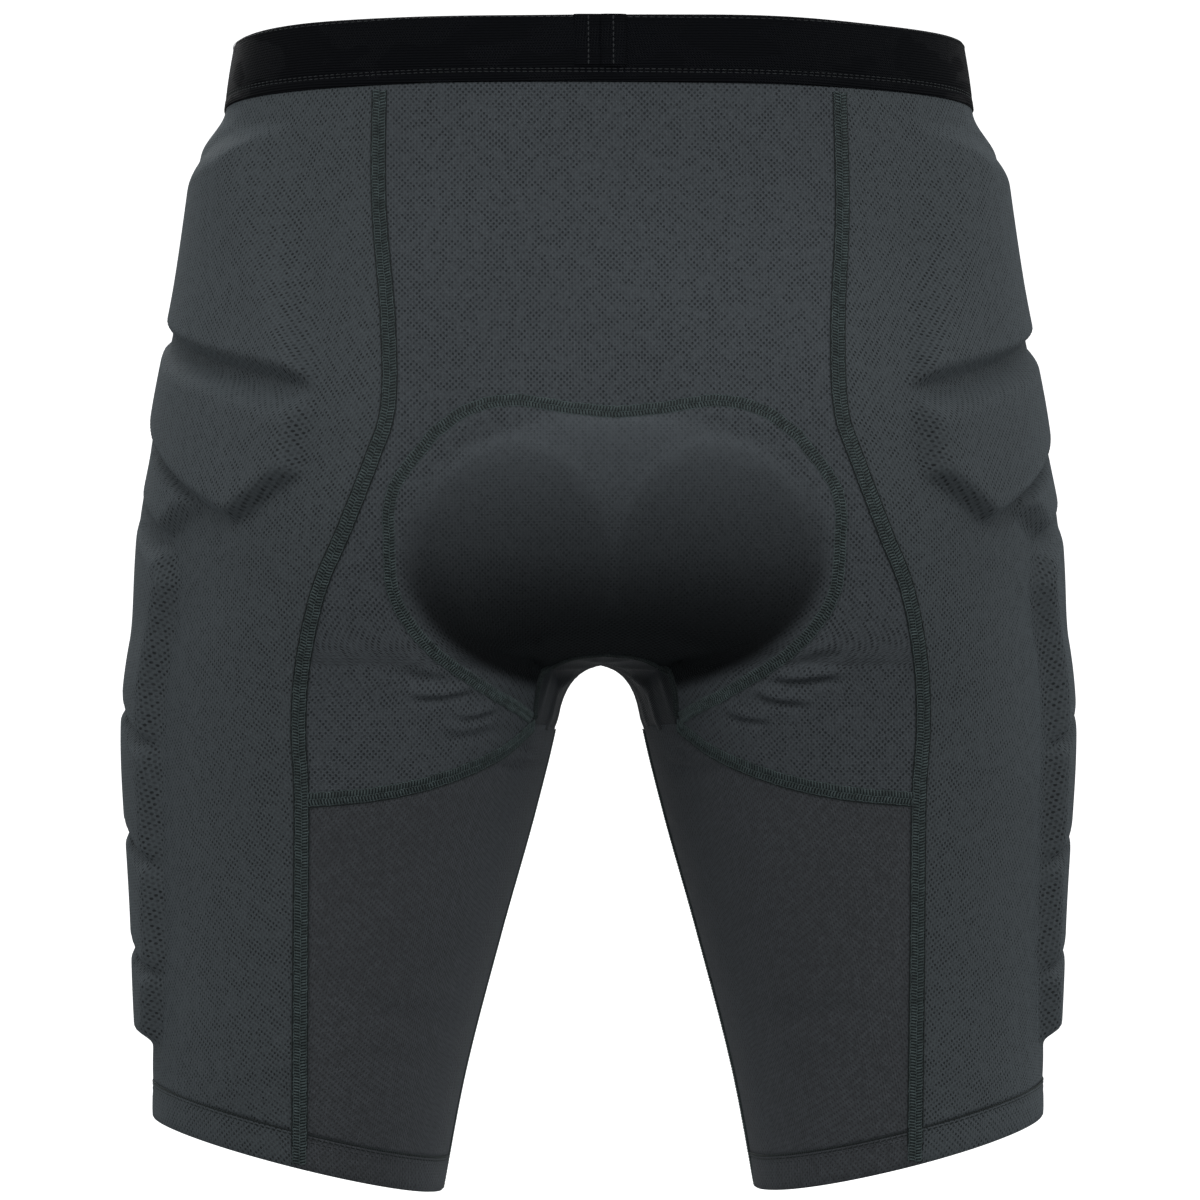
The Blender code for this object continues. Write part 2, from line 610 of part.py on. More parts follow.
def seams():
    clear = SEAM_WIDTH / 2 + 0.0015
    for place, edge, side in (("back", BACK_SEAM, -1), ("front", FRONT_SEAM, 1)):
        whole = seam_on(edge, side, 0.002, 0.462)
        foot, head = meets(whole, hem_line), meets(whole, waist_line)
        kept = whole[(whole[:, 1] > foot[1] + 0.001) & (whole[:, 1] < head[1] - 0.003)]
        long_path = between(skin(*kept.T), 0.0, 0.0, 24)
        flat = cross_line(edge, side)
        cross_path = between(facing(flat[:, 0], flat[:, 1], side), clear, clear, 9)
        for hand, flip in (("right_", 1), ("left_", -1)):
            ribbon(hand + place + "_seam", long_path * [flip, 1, 1])
            ribbon(hand + place + "_cross_seam", cross_path * [flip, 1, 1])
        corners = read(gusset_line(), GUSSET_SHARES)
        half = facing(corners[:, 0], corners[:, 1], side)
        half[0] += (half[1] - half[0]) * GUSSET_SEAM_START
        whole = np.concatenate([half, mirrored(half[-2::-1])])
        ribbon(place + "_gusset_seam", whole, GUSSET_SEAM, GUSSET_LIFT)
    loop = chain(spaced(SEAT_TOP, np.linspace(0, 1, 30)), spaced(SEAT_SIDE, np.linspace(0, 1, 60)))
    half = facing(loop[:, 0], loop[:, 1], -1)
    path = np.concatenate([mirrored(half[:0:-1]), half])
    ribbon("seat_pad_seam", between(path, 0.002, 0.002, 39), width=0.005, lift=SEAT_LIFT)
    turns = np.full(20, -180.0)
    inside = skin(turns, np.linspace(HEM_HEIGHT, gusset_foot_height() - 0.004, 20))
    for hand, flip in (("right_", 1), ("left_", -1)):
        ribbon(hand + "inside_leg_seam", between(inside, 0, 0, 9) * [flip, 1, 1])


def main():
    clear_scene()
    bpy.context.scene.collection.children.link(bpy.data.collections.new(PARTS))
    waistband()
    waistband_tab()
    centre_panel("back_panel", BACK_SEAM, -1)
    centre_panel("front_panel", FRONT_SEAM, 1)
    side_panel()
    inner_panel("inner_back_panel", BACK_SEAM, -1)
    inner_panel("inner_front_panel", FRONT_SEAM, 1)
    gusset()
    hem()
    seat_pad()
    side_pads()
    pad_lining()
    seams()


main()
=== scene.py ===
"""Looks for the padded impact shorts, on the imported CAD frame.

Metres, +Z up. The back of the shorts faces -Y and the wearer's right side is +X. The skin
below is the same body form that the CAD is built on, so every visible piece lies where its
CAD node does. A place on the right half of the skin is (turn, height): the turn is measured
around the leg's own axis, in degrees, from straight out (0) back to -180 or forward to 180.
"""

import bpy
import numpy as np
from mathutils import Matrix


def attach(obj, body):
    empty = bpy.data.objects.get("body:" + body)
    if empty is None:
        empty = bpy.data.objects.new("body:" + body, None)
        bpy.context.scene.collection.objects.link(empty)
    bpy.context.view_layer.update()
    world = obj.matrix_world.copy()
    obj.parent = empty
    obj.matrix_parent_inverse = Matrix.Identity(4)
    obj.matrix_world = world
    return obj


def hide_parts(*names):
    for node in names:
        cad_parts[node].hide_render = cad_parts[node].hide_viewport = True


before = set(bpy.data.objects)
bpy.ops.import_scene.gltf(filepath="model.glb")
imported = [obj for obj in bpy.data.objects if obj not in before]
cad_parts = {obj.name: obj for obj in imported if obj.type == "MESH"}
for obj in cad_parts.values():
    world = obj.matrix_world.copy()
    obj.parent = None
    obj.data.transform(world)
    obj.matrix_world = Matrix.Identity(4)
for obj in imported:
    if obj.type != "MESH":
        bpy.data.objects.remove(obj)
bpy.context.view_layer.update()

# ---- the body form, as in the CAD ----
LEG_OUTER = [(0, 0.186), (0.10, 0.187), (0.21, 0.189), (0.27, 0.176), (0.33, 0.150), (0.42, 0.105)]
LEG_INNER = [(0, 0.067), (0.05, 0.0575), (0.11, 0.042), (0.16, 0.028), (0.20, 0.0185), (0.25, 0.012)]
LEG_BACK = [(0, -0.058), (0.10, -0.075), (0.20, -0.094), (0.26, -0.111), (0.30, -0.111), (0.42, -0.070)]
LEG_FRONT = [(0, 0.075), (0.10, 0.089), (0.20, 0.103), (0.28, 0.099), (0.42, 0.060)]
HIP_SIDE = [(0.205, 0.120), (0.235, 0.160), (0.27, 0.180), (0.31, 0.179), (0.38, 0.1665), (0.44, 0.158),
            (0.49, 0.1505)]
HIP_BACK = [(0.205, 0.017), (0.2176, 0.027), (0.228, 0.065), (0.245, 0.091), (0.27, 0.109), (0.31, 0.118),
            (0.36, 0.110), (0.43, 0.093), (0.49, 0.086)]
HIP_FRONT = [(0.205, 0.043), (0.2176, 0.053), (0.228, 0.079), (0.25, 0.101), (0.30, 0.114), (0.38, 0.119),
             (0.44, 0.117), (0.49, 0.115)]
AXIS = [(0, 0.1255), (0.10, 0.114), (0.20, 0.101), (0.30, 0.087), (0.40, 0.080), (0.49, 0.074)]
AXIS_Y = 0.006
CROTCH = 0.2226
HIP_ROUNDNESS = 2.35
LEG_TO_HIP = 0.022
UNDERSIDE = 0.020

# ---- edges: (x, height) on the right half ----
BACK_SEAM = [(0.093, 0.470), (0.0937, 0.41), (0.0903, 0.36), (0.0905, 0.325), (0.0968, 0.3045),
             (0.108, 0.276), (0.118, 0.252), (0.1245, 0.222), (0.1262, 0.195), (0.125, 0.167),
             (0.1255, 0.10), (0.1262, 0)]
FRONT_SEAM = [(0.088, 0.465), (0.086, 0.40), (0.084, 0.35), (0.087, 0.31), (0.097, 0.27), (0.108, 0.235),
              (0.114, 0.20), (0.116, 0.167), (0.117, 0.10), (0.118, 0)]
CROSS_HEIGHT = 0.167
CROSS_SEAM = [(0.094, 0.170), (0.069, 0.1755), (0.0455, 0.185), (0.0300, 0.1968)]
GUSSET_SIDE = [(0.0300, 0.1968), (0.0295, 0.208), (0.0275, 0.2180)]
GUSSET_BACK = [(0.0275, 0.2180), (0.015, 0.2243), (0, 0.2262)]
GUSSET_AXIS = 0.190
SEAT_TOP = [(0, 0.3226), (0.018, 0.3243), (0.041, 0.3274), (0.059, 0.3235), (0.0726, 0.314)]
SEAT_SIDE = [(0.0726, 0.314), (0.0884, 0.292), (0.0902, 0.270), (0.0875, 0.248), (0.073, 0.228),
             (0.0485, 0.2105), (0.039, 0.2048), (0.0315, 0.1995)]
SEAT_BASE_SIDE = [(0.033, 0.223), (0.050, 0.217), (0.070, 0.230), (0.084, 0.250), (0.0868, 0.270),
                  (0.085, 0.291), (0.070, 0.312)]
SEAT_BASE_TOP = [(0, 0.3196), (0.018, 0.3213), (0.041, 0.3242), (0.057, 0.3205), (0.070, 0.312)]
SEAT_BASE_FOOT = [(0, 0.231), (0.018, 0.2285), (0.033, 0.223)]
LOBE_INNER = [(0.007, 0.240), (0.006, 0.270), (0.014, 0.296)]
LOBE_TOP = [(0.014, 0.296), (0.030, 0.3065), (0.046, 0.308), (0.062, 0.301), (0.074, 0.284)]
LOBE_OUTER = [(0.042, 0.229), (0.062, 0.238), (0.074, 0.256), (0.0765, 0.270), (0.074, 0.284)]
LOBE_FOOT = [(0.007, 0.240), (0.024, 0.234), (0.042, 0.229)]
SEAT_MIDDLE = 0.262      # a height from which the whole outline of the seat pad can be seen
LOBE_PLACE = (0.040, 0.2690)
LOBE_HALF = (0.0385, 0.0455)               # half its width and half its height
LOBE_LEAN = 0.12
LOBE_ROUNDNESS = 2.5
SEAT_BASE_LIFT = 0.0012
LOBE_LIFT = 0.0028
WAIST_HEIGHT = 0.4535
WAIST_TILT = 0.05
BAND_HEIGHT = 0.027
HEM_INNER_X = 0.066
HEM_TILT = 0.258
HEM_HEIGHT = 0.0155

# ---- fabric and seams ----
FABRIC = 0.0008
SEAM_WIDTH = 0.0056
SEAT_SEAM_WIDTH = 0.0050
GUSSET_SEAM_WIDTH = 0.0036
SEAM_TOP = 0.462         # a long seam starts here, above the waistband's edge, and is then cut off there
SEAM_FOOT = 0.012        # and it ends here, below the top edge of the hem
HANDS = (("right_", 1), ("left_", -1))     # each side's name and what its x is multiplied by
STITCH = 0.00125         # from one cross thread of a flat seam to the next
SEAM_CROWN = [(-1.0, -0.0007), (-0.97, 0.0001), (-0.8, 0.0003), (-0.4, 0.00036), (0.0, 0.0002)]
CROSS_THREAD = (0.00066, 0.0007)           # width and height
CHAIN_THREAD = (0.00048, 0.0005)

# ---- the side pads under the fabric ----
# Each hip pad's outline where it meets the leg, then the outline of its raised face, both
# anticlockwise from the lowest back corner as (turn, height), and how far it stands out.
HIP_PADS = {
    "hip_pad_upper": (
        [(-72, 0.333), (12, 0.364), (10, 0.450), (-54, 0.441)],
        [(-67, 0.3375), (7, 0.3655), (4, 0.417), (-30, 0.426)], 0.0112),
    "hip_pad_middle": (
        [(-57, 0.279), (12, 0.3295), (12, 0.360), (-72, 0.3305), (-71, 0.298)],
        [(-57.5, 0.2822), (7, 0.3292), (6, 0.353), (-68.5, 0.3165), (-69, 0.2990)], 0.0104),
    "hip_pad_lower": (
        [(-34, 0.2725), (12, 0.297), (12, 0.327), (-47, 0.2855)],
        [(-31, 0.278), (7, 0.2985), (6, 0.3225), (-40, 0.2885)], 0.0082),
    "hip_pad_front": (
        [(15, 0.303), (54, 0.314), (52, 0.420), (14, 0.440)],
        [(20, 0.311), (48, 0.322), (45, 0.404), (20, 0.419)], 0.0100),
}
THIGH_PLATE = [(-22, 0.0625), (38, 0.0625), (44, 0.10), (46, 0.262), (32, 0.286), (12, 0.2935), (-33, 0.2685),
               (-36, 0.255), (-30, 0.21), (-28, 0.10)]
THIGH_STANDS = [(0.06, 0.0076), (0.09, 0.0086), (0.15, 0.0090), (0.21, 0.0102), (0.25, 0.0094),
                (0.29, 0.0078)]
THIGH_BREAKS = [0.068, 0.111, 0.147, 0.197, 0.252]
THIGH_CREASES = [
    [(-31, 0.1845), (-5, 0.2030), (16, 0.2030), (46, 0.186)],
    [(-29, 0.1365), (-5, 0.1520), (16, 0.1520), (46, 0.137)],
    [(-29, 0.0895), (-5, 0.1035), (16, 0.1035), (46, 0.090)],
]
BOND_LINES = [
    [(-56, 0.2690), (-46, 0.2605), (-38, 0.2490), (-32, 0.2330), (-30, 0.2130), (-30, 0.17), (-29, 0.10),
     (-25, 0.064)],
    [(-57, 0.4405), (-15, 0.4425)],
]
SPREAD = [(0.06, 0.00123), (0.10, 0.00133), (0.15, 0.00148), (0.20, 0.00160), (0.25, 0.00170),
          (0.30, 0.00175), (0.35, 0.00163), (0.40, 0.00152), (0.44, 0.00145)]   # metres for a degree

# ---- small folds in the fabric: (x, height) of both ends, half-width and depth ----
BACK_FOLDS = [
    (-0.082, 0.2080, -0.052, 0.2085, 0.0016, 0.00240), (-0.064, 0.2000, -0.044, 0.2005, 0.0014, 0.00195),
    (-0.088, 0.2200, -0.060, 0.2130, 0.0026, 0.00150), (-0.070, 0.1930, -0.045, 0.1930, 0.0022, 0.00120),
    (0.064, 0.2150, 0.093, 0.2145, 0.0017, 0.00255), (0.058, 0.2090, 0.080, 0.2030, 0.0016, 0.00225),
    (0.060, 0.2230, 0.092, 0.2240, 0.0026, 0.00150), (0.048, 0.2010, 0.064, 0.1960, 0.0016, 0.00180),
    (0.030, 0.2130, 0.052, 0.2230, 0.0022, 0.00150), (-0.030, 0.2120, -0.050, 0.2220, 0.0022, 0.00150),
]
LEG_FOLDS = [(0.026, 0.1800, 0.052, 0.1790, 0.0020, 0.0012), (0.030, 0.1850, 0.044, 0.1880, 0.0015, 0.0009),
             (0.060, 0.0760, 0.105, 0.0800, 0.0045, 0.0006), (0.062, 0.0560, 0.100, 0.0590, 0.0045, 0.0005)]


# ---- the body form ----
def profile(points, heights):
    """A smooth curve through (height, value) points, read at the given heights."""
    at, value = np.array(points, float).T
    heights = np.clip(heights, at[0], at[-1])
    secant = np.diff(value) / np.diff(at)
    slope = np.concatenate([secant[:1], (secant[1:] + secant[:-1]) / 2, secant[-1:]])
    i = np.clip(np.searchsorted(at, heights) - 1, 0, len(at) - 2)
    span = at[i + 1] - at[i]
    t = (heights - at[i]) / span
    ends = value[i] * (1 + 2 * t) * (1 - t) ** 2 + value[i + 1] * t * t * (3 - 2 * t)
    return ends + span * t * (1 - t) * (slope[i] * (1 - t) - slope[i + 1] * t)


def soft_union(a, b, width):
    near = np.maximum(width - np.abs(a - b), 0) / width
    return np.minimum(a, b) - near * near * width / 4


def form(points):
    """Below zero inside the wearer's body and above zero outside, about in metres."""
    x, y, z = split(points)
    x = np.abs(x)
    outer, inner = profile(LEG_OUTER, z), profile(LEG_INNER, z)
    back, front = profile(LEG_BACK, z), profile(LEG_FRONT, z)
    wide, deep = (outer - inner) / 2, (front - back) / 2
    leg = np.hypot((x - (outer + inner) / 2) / wide, (y - (front + back) / 2) / deep) - 1
    leg = leg * np.minimum(wide, deep)
    depth = np.where(y < AXIS_Y, profile(HIP_BACK, z) + AXIS_Y, profile(HIP_FRONT, z) - AXIS_Y)
    across = (x / profile(HIP_SIDE, z)) ** HIP_ROUNDNESS
    hip = (across + (np.abs(y - AXIS_Y) / depth) ** HIP_ROUNDNESS) ** (1 / HIP_ROUNDNESS) - 1
    hip = -soft_union(-0.1 * hip, z - CROTCH, UNDERSIDE)
    return soft_union(leg, hip, LEG_TO_HIP)


def reach(start, direction):
    """The first place where each ray from start crosses the form."""
    start, direction = np.broadcast_arrays(start, direction)
    inside = form(start) < 0
    near = np.zeros(inside.shape)
    going = np.ones(inside.shape, bool)
    stride = 0.004
    for _ in range(70):
        ahead = start + direction * (near + stride)[..., None]
        going &= (form(ahead) < 0) == inside
        near = np.where(going, near + stride, near)
        if not going.any():
            break
    far = near + stride
    for _ in range(20):
        middle = (near + far) / 2
        same = (form(start + direction * middle[..., None]) < 0) == inside
        near, far = np.where(same, middle, near), np.where(same, far, middle)
    return start + direction * near[..., None]


def skin(turn, height):
    """The point of the right half's skin at a turn, in degrees, and a height."""
    turn, height = np.broadcast_arrays(np.radians(turn), np.asarray(height, float))
    start = np.stack([profile(AXIS, height), np.full(height.shape, AXIS_Y), height], -1)
    return reach(start, np.stack([np.cos(turn), np.sin(turn), np.zeros(height.shape)], -1))


def facing(x, height, side):
    """The skin's point behind (side -1) or in front of (side 1) a place seen flat on."""
    x, height = np.broadcast_arrays(np.asarray(x, float), np.asarray(height, float))
    start = np.stack([x, np.full(x.shape, AXIS_Y), height], -1)
    return reach(start, np.array([0.0, side, 0.0]))


def turn_of(points):
    """The (turn, height) of points on the right half."""
    turn = np.degrees(np.arctan2(points[..., 1] - AXIS_Y, points[..., 0] - profile(AXIS, points[..., 2])))
    return np.stack([turn, points[..., 2]], -1)


def normal(points):
    """The form's outward direction at each point."""
    step = 0.0005
    shifts = np.eye(3) * step
    slope = np.stack([form(points + s) - form(points - s) for s in shifts], -1)
    return unit(slope)


# ---- curves and patches ----
def evenly(count):
    """Evenly spaced shares from 0 to 1."""
    return np.linspace(0, 1, count)


def split(places):
    """The coordinates of places, each as its own array."""
    return np.moveaxis(places, -1, 0)


def between(first, last, shares):
    return first + (last - first) * shares


def running(steps, axis=0):
    """The sum of the steps up to each place, from 0."""
    return np.insert(np.cumsum(steps, axis), 0, 0, axis)


def unit(ways):
    return ways / np.linalg.norm(ways, axis=-1, keepdims=True)


def length_of(path):
    return np.linalg.norm(np.diff(path, axis=0), axis=1).sum()


def paced(path, pitch):
    """The middle of each whole pitch along a path."""
    count = int(length_of(path) / pitch)
    return along(path, (np.arange(count) + 0.5) / count)


def along(line, shares):
    """Places at shares of the length of a closely spaced line."""
    run = running(np.linalg.norm(np.diff(line, axis=0), axis=1))
    at = np.asarray(shares) * run[-1]
    return np.stack([np.interp(at, run, c) for c in line.T], -1)


def along_turns(line, shares):
    """The same for (turn, height), where a degree counts as a thousandth of a metre."""
    return along(line / [1000, 1], shares) * [1000, 1]


def spaced(points, shares):
    """A smooth curve through the points, read at shares of its length."""
    points = np.asarray(points, float)
    knots = np.arange(len(points))
    fine = np.linspace(0, len(points) - 1, 40 * len(points))
    return along(np.stack([profile(list(zip(knots, c)), fine) for c in points.T], -1), shares)


def part_of(points, low, high, count=60):
    """The stretch of an edge between two heights, as closely spaced points."""
    line = spaced(points, evenly(400))
    line = line[np.argsort(line[:, 1])]
    heights = np.linspace(low, high, count)
    return np.stack([np.interp(heights, line[:, 1], line[:, 0]), heights], -1)


def chain(*curves):
    """Curves that meet end to end, as one."""
    return np.concatenate([curves[0]] + [np.asarray(c, float)[1:] for c in curves[1:]])


def patch(bottom, top, left, right, across, up):
    """A grid blended between four edges, in the edges' own coordinates."""
    u, v = across[None, :, None], up[:, None, None]
    b, t = bottom[None], top[None]
    le, r = left[:, None], right[:, None]
    corners = (1 - v) * ((1 - u) * b[:, :1] + u * b[:, -1:]) + v * ((1 - u) * t[:, :1] + u * t[:, -1:])
    return (1 - v) * b + v * t + (1 - u) * le + u * r - corners


def lifted(points, lift):
    return points + normal(points) * np.asarray(lift)[..., None]


def mirrored(points):
    return points * np.array([-1.0, 1.0, 1.0][:points.shape[-1]])


def both_halves(half):
    """A grid of the right half and its mirror image, which share the first column."""
    return np.concatenate([mirrored(half[:, :0:-1]), half], 1)


def smooth(share):
    share = np.clip(share, 0, 1)
    return share * share * (3 - 2 * share)


def softened(heights, rounds):
    """A grid of heights with its sharpest changes rounded off."""
    for _ in range(rounds):
        for axis in (0, 1):
            ahead, behind = np.roll(heights, -1, axis), np.roll(heights, 1, axis)
            mixed = (ahead + behind + 2 * heights) / 4
            inner = [slice(None)] * 2
            inner[axis] = slice(1, -1)
            heights = heights.copy()
            heights[tuple(inner)] = mixed[tuple(inner)]
    return heights


# ---- edges on the skin ----
def level(turn, rule):
    """(turn, height) where a rule of the skin's point sets the height."""
    turn = np.asarray(turn, float)
    height = np.full(turn.shape, 0.02 if rule in (hem_line, hem_top) else WAIST_HEIGHT)
    for _ in range(6):
        height = rule(skin(turn, height))
    return np.stack([turn, height], -1)


def hem_line(points):
    return np.maximum((points[..., 0] - HEM_INNER_X) * HEM_TILT, 0)


def hem_top(points):
    return hem_line(points) + HEM_HEIGHT


def waist_line(points):
    return WAIST_HEIGHT - WAIST_TILT * points[..., 1]


def waist_top(points):
    return waist_line(points) + BAND_HEIGHT


def middle_turn(height, side):
    """The turn of the middle of the back (side -1) or front (side 1)."""
    return turn_of(facing(np.zeros(np.shape(height)), height, side))[..., 0]


def seam_on(edge, side, low, high):
    """A long seam between two heights, as (turn, height)."""
    flat = part_of(edge, low, high, 120)
    return turn_of(facing(*flat.T, side))


def meets(line, rule):
    """Cuts a rising (turn, height) line at the hem or waist edge that the rule gives."""
    heights = rule(skin(*line.T))
    at = np.interp(0, line[:, 1] - heights, np.arange(len(line)))
    return np.array([np.interp(at, np.arange(len(line)), c) for c in line.T])


def long_seam(edge, side):
    """A long seam from the hem's top edge to the waistband, as (turn, height)."""
    whole = seam_on(edge, side, SEAM_FOOT, SEAM_TOP)
    foot, head = meets(whole, hem_top), meets(whole, waist_line)
    between = whole[(whole[:, 1] > foot[1] + 0.002) & (whole[:, 1] < head[1] - 0.002)]
    return np.concatenate([[foot], between, [head]])


def cross_line(edge):
    """The cross seam from the long seam to the gusset's corner, as (x, height)."""
    start = part_of(edge, CROSS_HEIGHT, CROSS_HEIGHT, 1)
    return spaced(np.concatenate([start, CROSS_SEAM]), evenly(80))


def gusset_line():
    """The gusset's edge from its lower corner to the middle, as (x, height)."""
    side = spaced(GUSSET_SIDE, evenly(20))
    return chain(side, spaced(GUSSET_BACK, evenly(20)))


# ---- making objects ----
def placed(name, data):
    """A new object in the scene that holds a mesh, a light or a camera."""
    obj = bpy.data.objects.new(name, data)
    bpy.context.scene.collection.objects.link(obj)
    return obj


def new_mesh(name, points, faces, kind, uv=None):
    """A mesh from an array of points and one array of faces with the same number of corners."""
    mesh = bpy.data.meshes.new(name)
    faces = np.asarray(faces, np.int32)
    corners = faces.shape[1]
    mesh.vertices.add(len(points))
    mesh.vertices.foreach_set("co", np.asarray(points, np.float32).ravel())
    mesh.loops.add(faces.size)
    mesh.loops.foreach_set("vertex_index", faces.ravel())
    mesh.polygons.add(len(faces))
    mesh.polygons.foreach_set("loop_start", np.arange(len(faces), dtype=np.int32) * corners)
    if uv is not None:
        layer = mesh.uv_layers.new(name="cloth")
        layer.data.foreach_set("uv", np.asarray(uv, np.float32)[faces.ravel()].ravel())
    mesh.update(calc_edges=True)
    mesh.shade_smooth()
    mesh.materials.append(MATERIALS[kind])
    obj = placed(name, mesh)
    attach(obj, "root")
    return obj


def grid_faces(rows, columns, closed=False, looped=False):
    """Quads between the points of a grid: closed joins its columns round, looped its rows."""
    index = np.arange(rows * columns).reshape(rows, columns)
    if closed:
        index = np.concatenate([index, index[:, :1]], 1)
    if looped:
        index = np.concatenate([index, index[:1]], 0)
    return np.stack([index[:-1, :-1], index[:-1, 1:], index[1:, 1:], index[1:, :-1]], -1).reshape(-1, 4)


def outward(grid):
    """Whether the grid's faces point away from the body."""
    r, c = grid.shape[0] // 2, grid.shape[1] // 3
    across, up = grid[r, c + 1] - grid[r, c], grid[r + 1, c] - grid[r, c]
    return np.dot(np.cross(across, up), normal(grid[r, c])) > 0


def cloth_map(grid):
    """Each grid point's place on the cloth in metres, so that a weave keeps its size."""
    across = np.linalg.norm(np.diff(grid, axis=1), axis=-1)
    up = np.linalg.norm(np.diff(grid, axis=0), axis=-1)
    u, v = running(across, 1), running(up)
    return np.stack([u - u[:, grid.shape[1] // 2][:, None], v - v[-1:]], -1)


def sheet(name, grid, kind, node=None, thickness=FABRIC, uv=None):
    """A sheet of fabric whose outer face is the grid. It replaces the node of its own name, or another."""
    uv = cloth_map(grid) if uv is None else uv
    if not outward(grid):
        grid, uv = grid[:, ::-1], uv[:, ::-1]
    faces = grid_faces(*grid.shape[:2])
    obj = new_mesh(name + "_fabric", grid.reshape(-1, 3), faces, kind, uv.reshape(-1, 2))
    solid = obj.modifiers.new("thickness", "SOLIDIFY")
    solid.thickness = thickness
    solid.offset = -1.0
    if node != "":
        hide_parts(node or name)


# ---- stitches and flat seams ----
def capsule():
    """A thread's short visible run: rings of six points along X, tapered to both ends."""
    rings = [(-1.0, 0.25), (-0.62, 0.9), (0.0, 1.0), (0.62, 0.9), (1.0, 0.25)]
    turn = np.arange(6) / 6 * 2 * np.pi
    points = np.array([(x, r * np.cos(a), r * np.sin(a)) for x, r in rings for a in turn])
    faces = grid_faces(len(rings), 6, closed=True)
    caps = [(5, 4, 3, 2), (5, 2, 1, 0), (24, 25, 26, 27), (24, 27, 28, 29)]
    return points, np.concatenate([faces, np.array(caps)])


def threads(places, forward, out, length, width, height):
    """Many threads as one set of points and faces: each lies along forward at a place."""
    points, faces = capsule()
    side = np.cross(out, forward)
    axes = np.stack([forward * (length / 2), side * (width / 2), out * (height / 2)], 1)
    whole = places[:, None] + np.einsum("pk,nkc->npc", points, axes)
    offsets = np.arange(len(places))[:, None, None] * len(points)
    return whole.reshape(-1, 3), (faces[None] + offsets).reshape(-1, 4)


def joined(parts):
    """Sets of points and faces as one."""
    points, faces, count = [], [], 0
    for p, f in parts:
        points.append(p)
        faces.append(f + count)
        count += len(p)
    return np.concatenate(points), np.concatenate(faces)


def frames(path):
    """The direction along, across and out of the skin at points of a path on it."""
    out = normal(path)
    side = unit(np.cross(out, unit(np.gradient(path, axis=0))))
    return np.cross(side, out), side, out


def flatlock(name, path, lift=0.0008, width=SEAM_WIDTH, pitch=STITCH, under=None,
             kinds=("seam_base", "seam_thread")):
    """A flat seam: a low crowned band, two ladders of cross threads and a chain on each edge."""
    line = paced(path, pitch)
    count = len(line)
    forward, side, out = frames(line)
    rise = np.full(count, lift) if under is None else lift + under(line)
    wobble = 0.00012 * np.sin(np.arange(count) * 1.7) + 0.00010 * np.sin(np.arange(count) * 0.61)
    line = line + side * wobble[:, None]
    shape = SEAM_CROWN + [(-s, h) for s, h in SEAM_CROWN[-2::-1]]
    band = np.stack([line + side * (s * width / 2) + out * (rise + h)[:, None] for s, h in shape], 1)
    faces = grid_faces(count, len(shape))[:, ::-1]
    base = new_mesh(name + "_band", band.reshape(-1, 3), faces, kinds[0], cloth_map(band).reshape(-1, 2))
    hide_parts(name)
    parts = []
    for hand in (-1, 1):
        middle = line + side * (0.24 * hand * width) + out * (rise + 0.0005)[:, None]
        middle = middle + forward * (pitch / 2 if hand > 0 else 0)
        way = side * (0.44 * width / 2) + forward * (0.00022 * hand)
        length = np.linalg.norm(way, axis=1, keepdims=True)
        parts.append(threads(middle, way / length, out, 2 * length, *CROSS_THREAD))
    tilt = unit(forward + side * np.where(np.arange(count) % 2 > 0, 0.18, -0.10)[:, None])
    for hand in (-1, 0, 1):
        above = rise + (0.0003 if hand else 0.0005)
        middle = line + side * (0.5 * hand * (width - 0.0004)) + out * above[:, None]
        parts.append(threads(middle + forward * (pitch * 0.25), tilt, out, pitch * 0.98, *CHAIN_THREAD))
    new_mesh(name + "_threads", *joined(parts), kinds[1])


def stitch_row(name, path, kind, pitch, length, thickness, lift):
    """One row of straight stitches along a path on the skin."""
    line = paced(path, pitch)
    forward, _, out = frames(line)
    made = threads(line + out * lift, forward, out, length, thickness, thickness * 0.8)
    new_mesh(name, *made, kind)


# ---- materials ----
class Value:
    """A number that a material's nodes work out, for use with + - * / and %."""

    def __init__(self, finish, socket):
        self.finish, self.socket = finish, socket

    def __add__(self, other):
        return self.finish.math("ADD", self, other)

    def __sub__(self, other):
        return self.finish.math("SUBTRACT", self, other)

    def __mul__(self, other):
        return self.finish.math("MULTIPLY", self, other)

    def __truediv__(self, other):
        return self.finish.math("DIVIDE", self, other)

    def __mod__(self, other):
        return self.finish.math("FLOORED_MODULO", self, other)


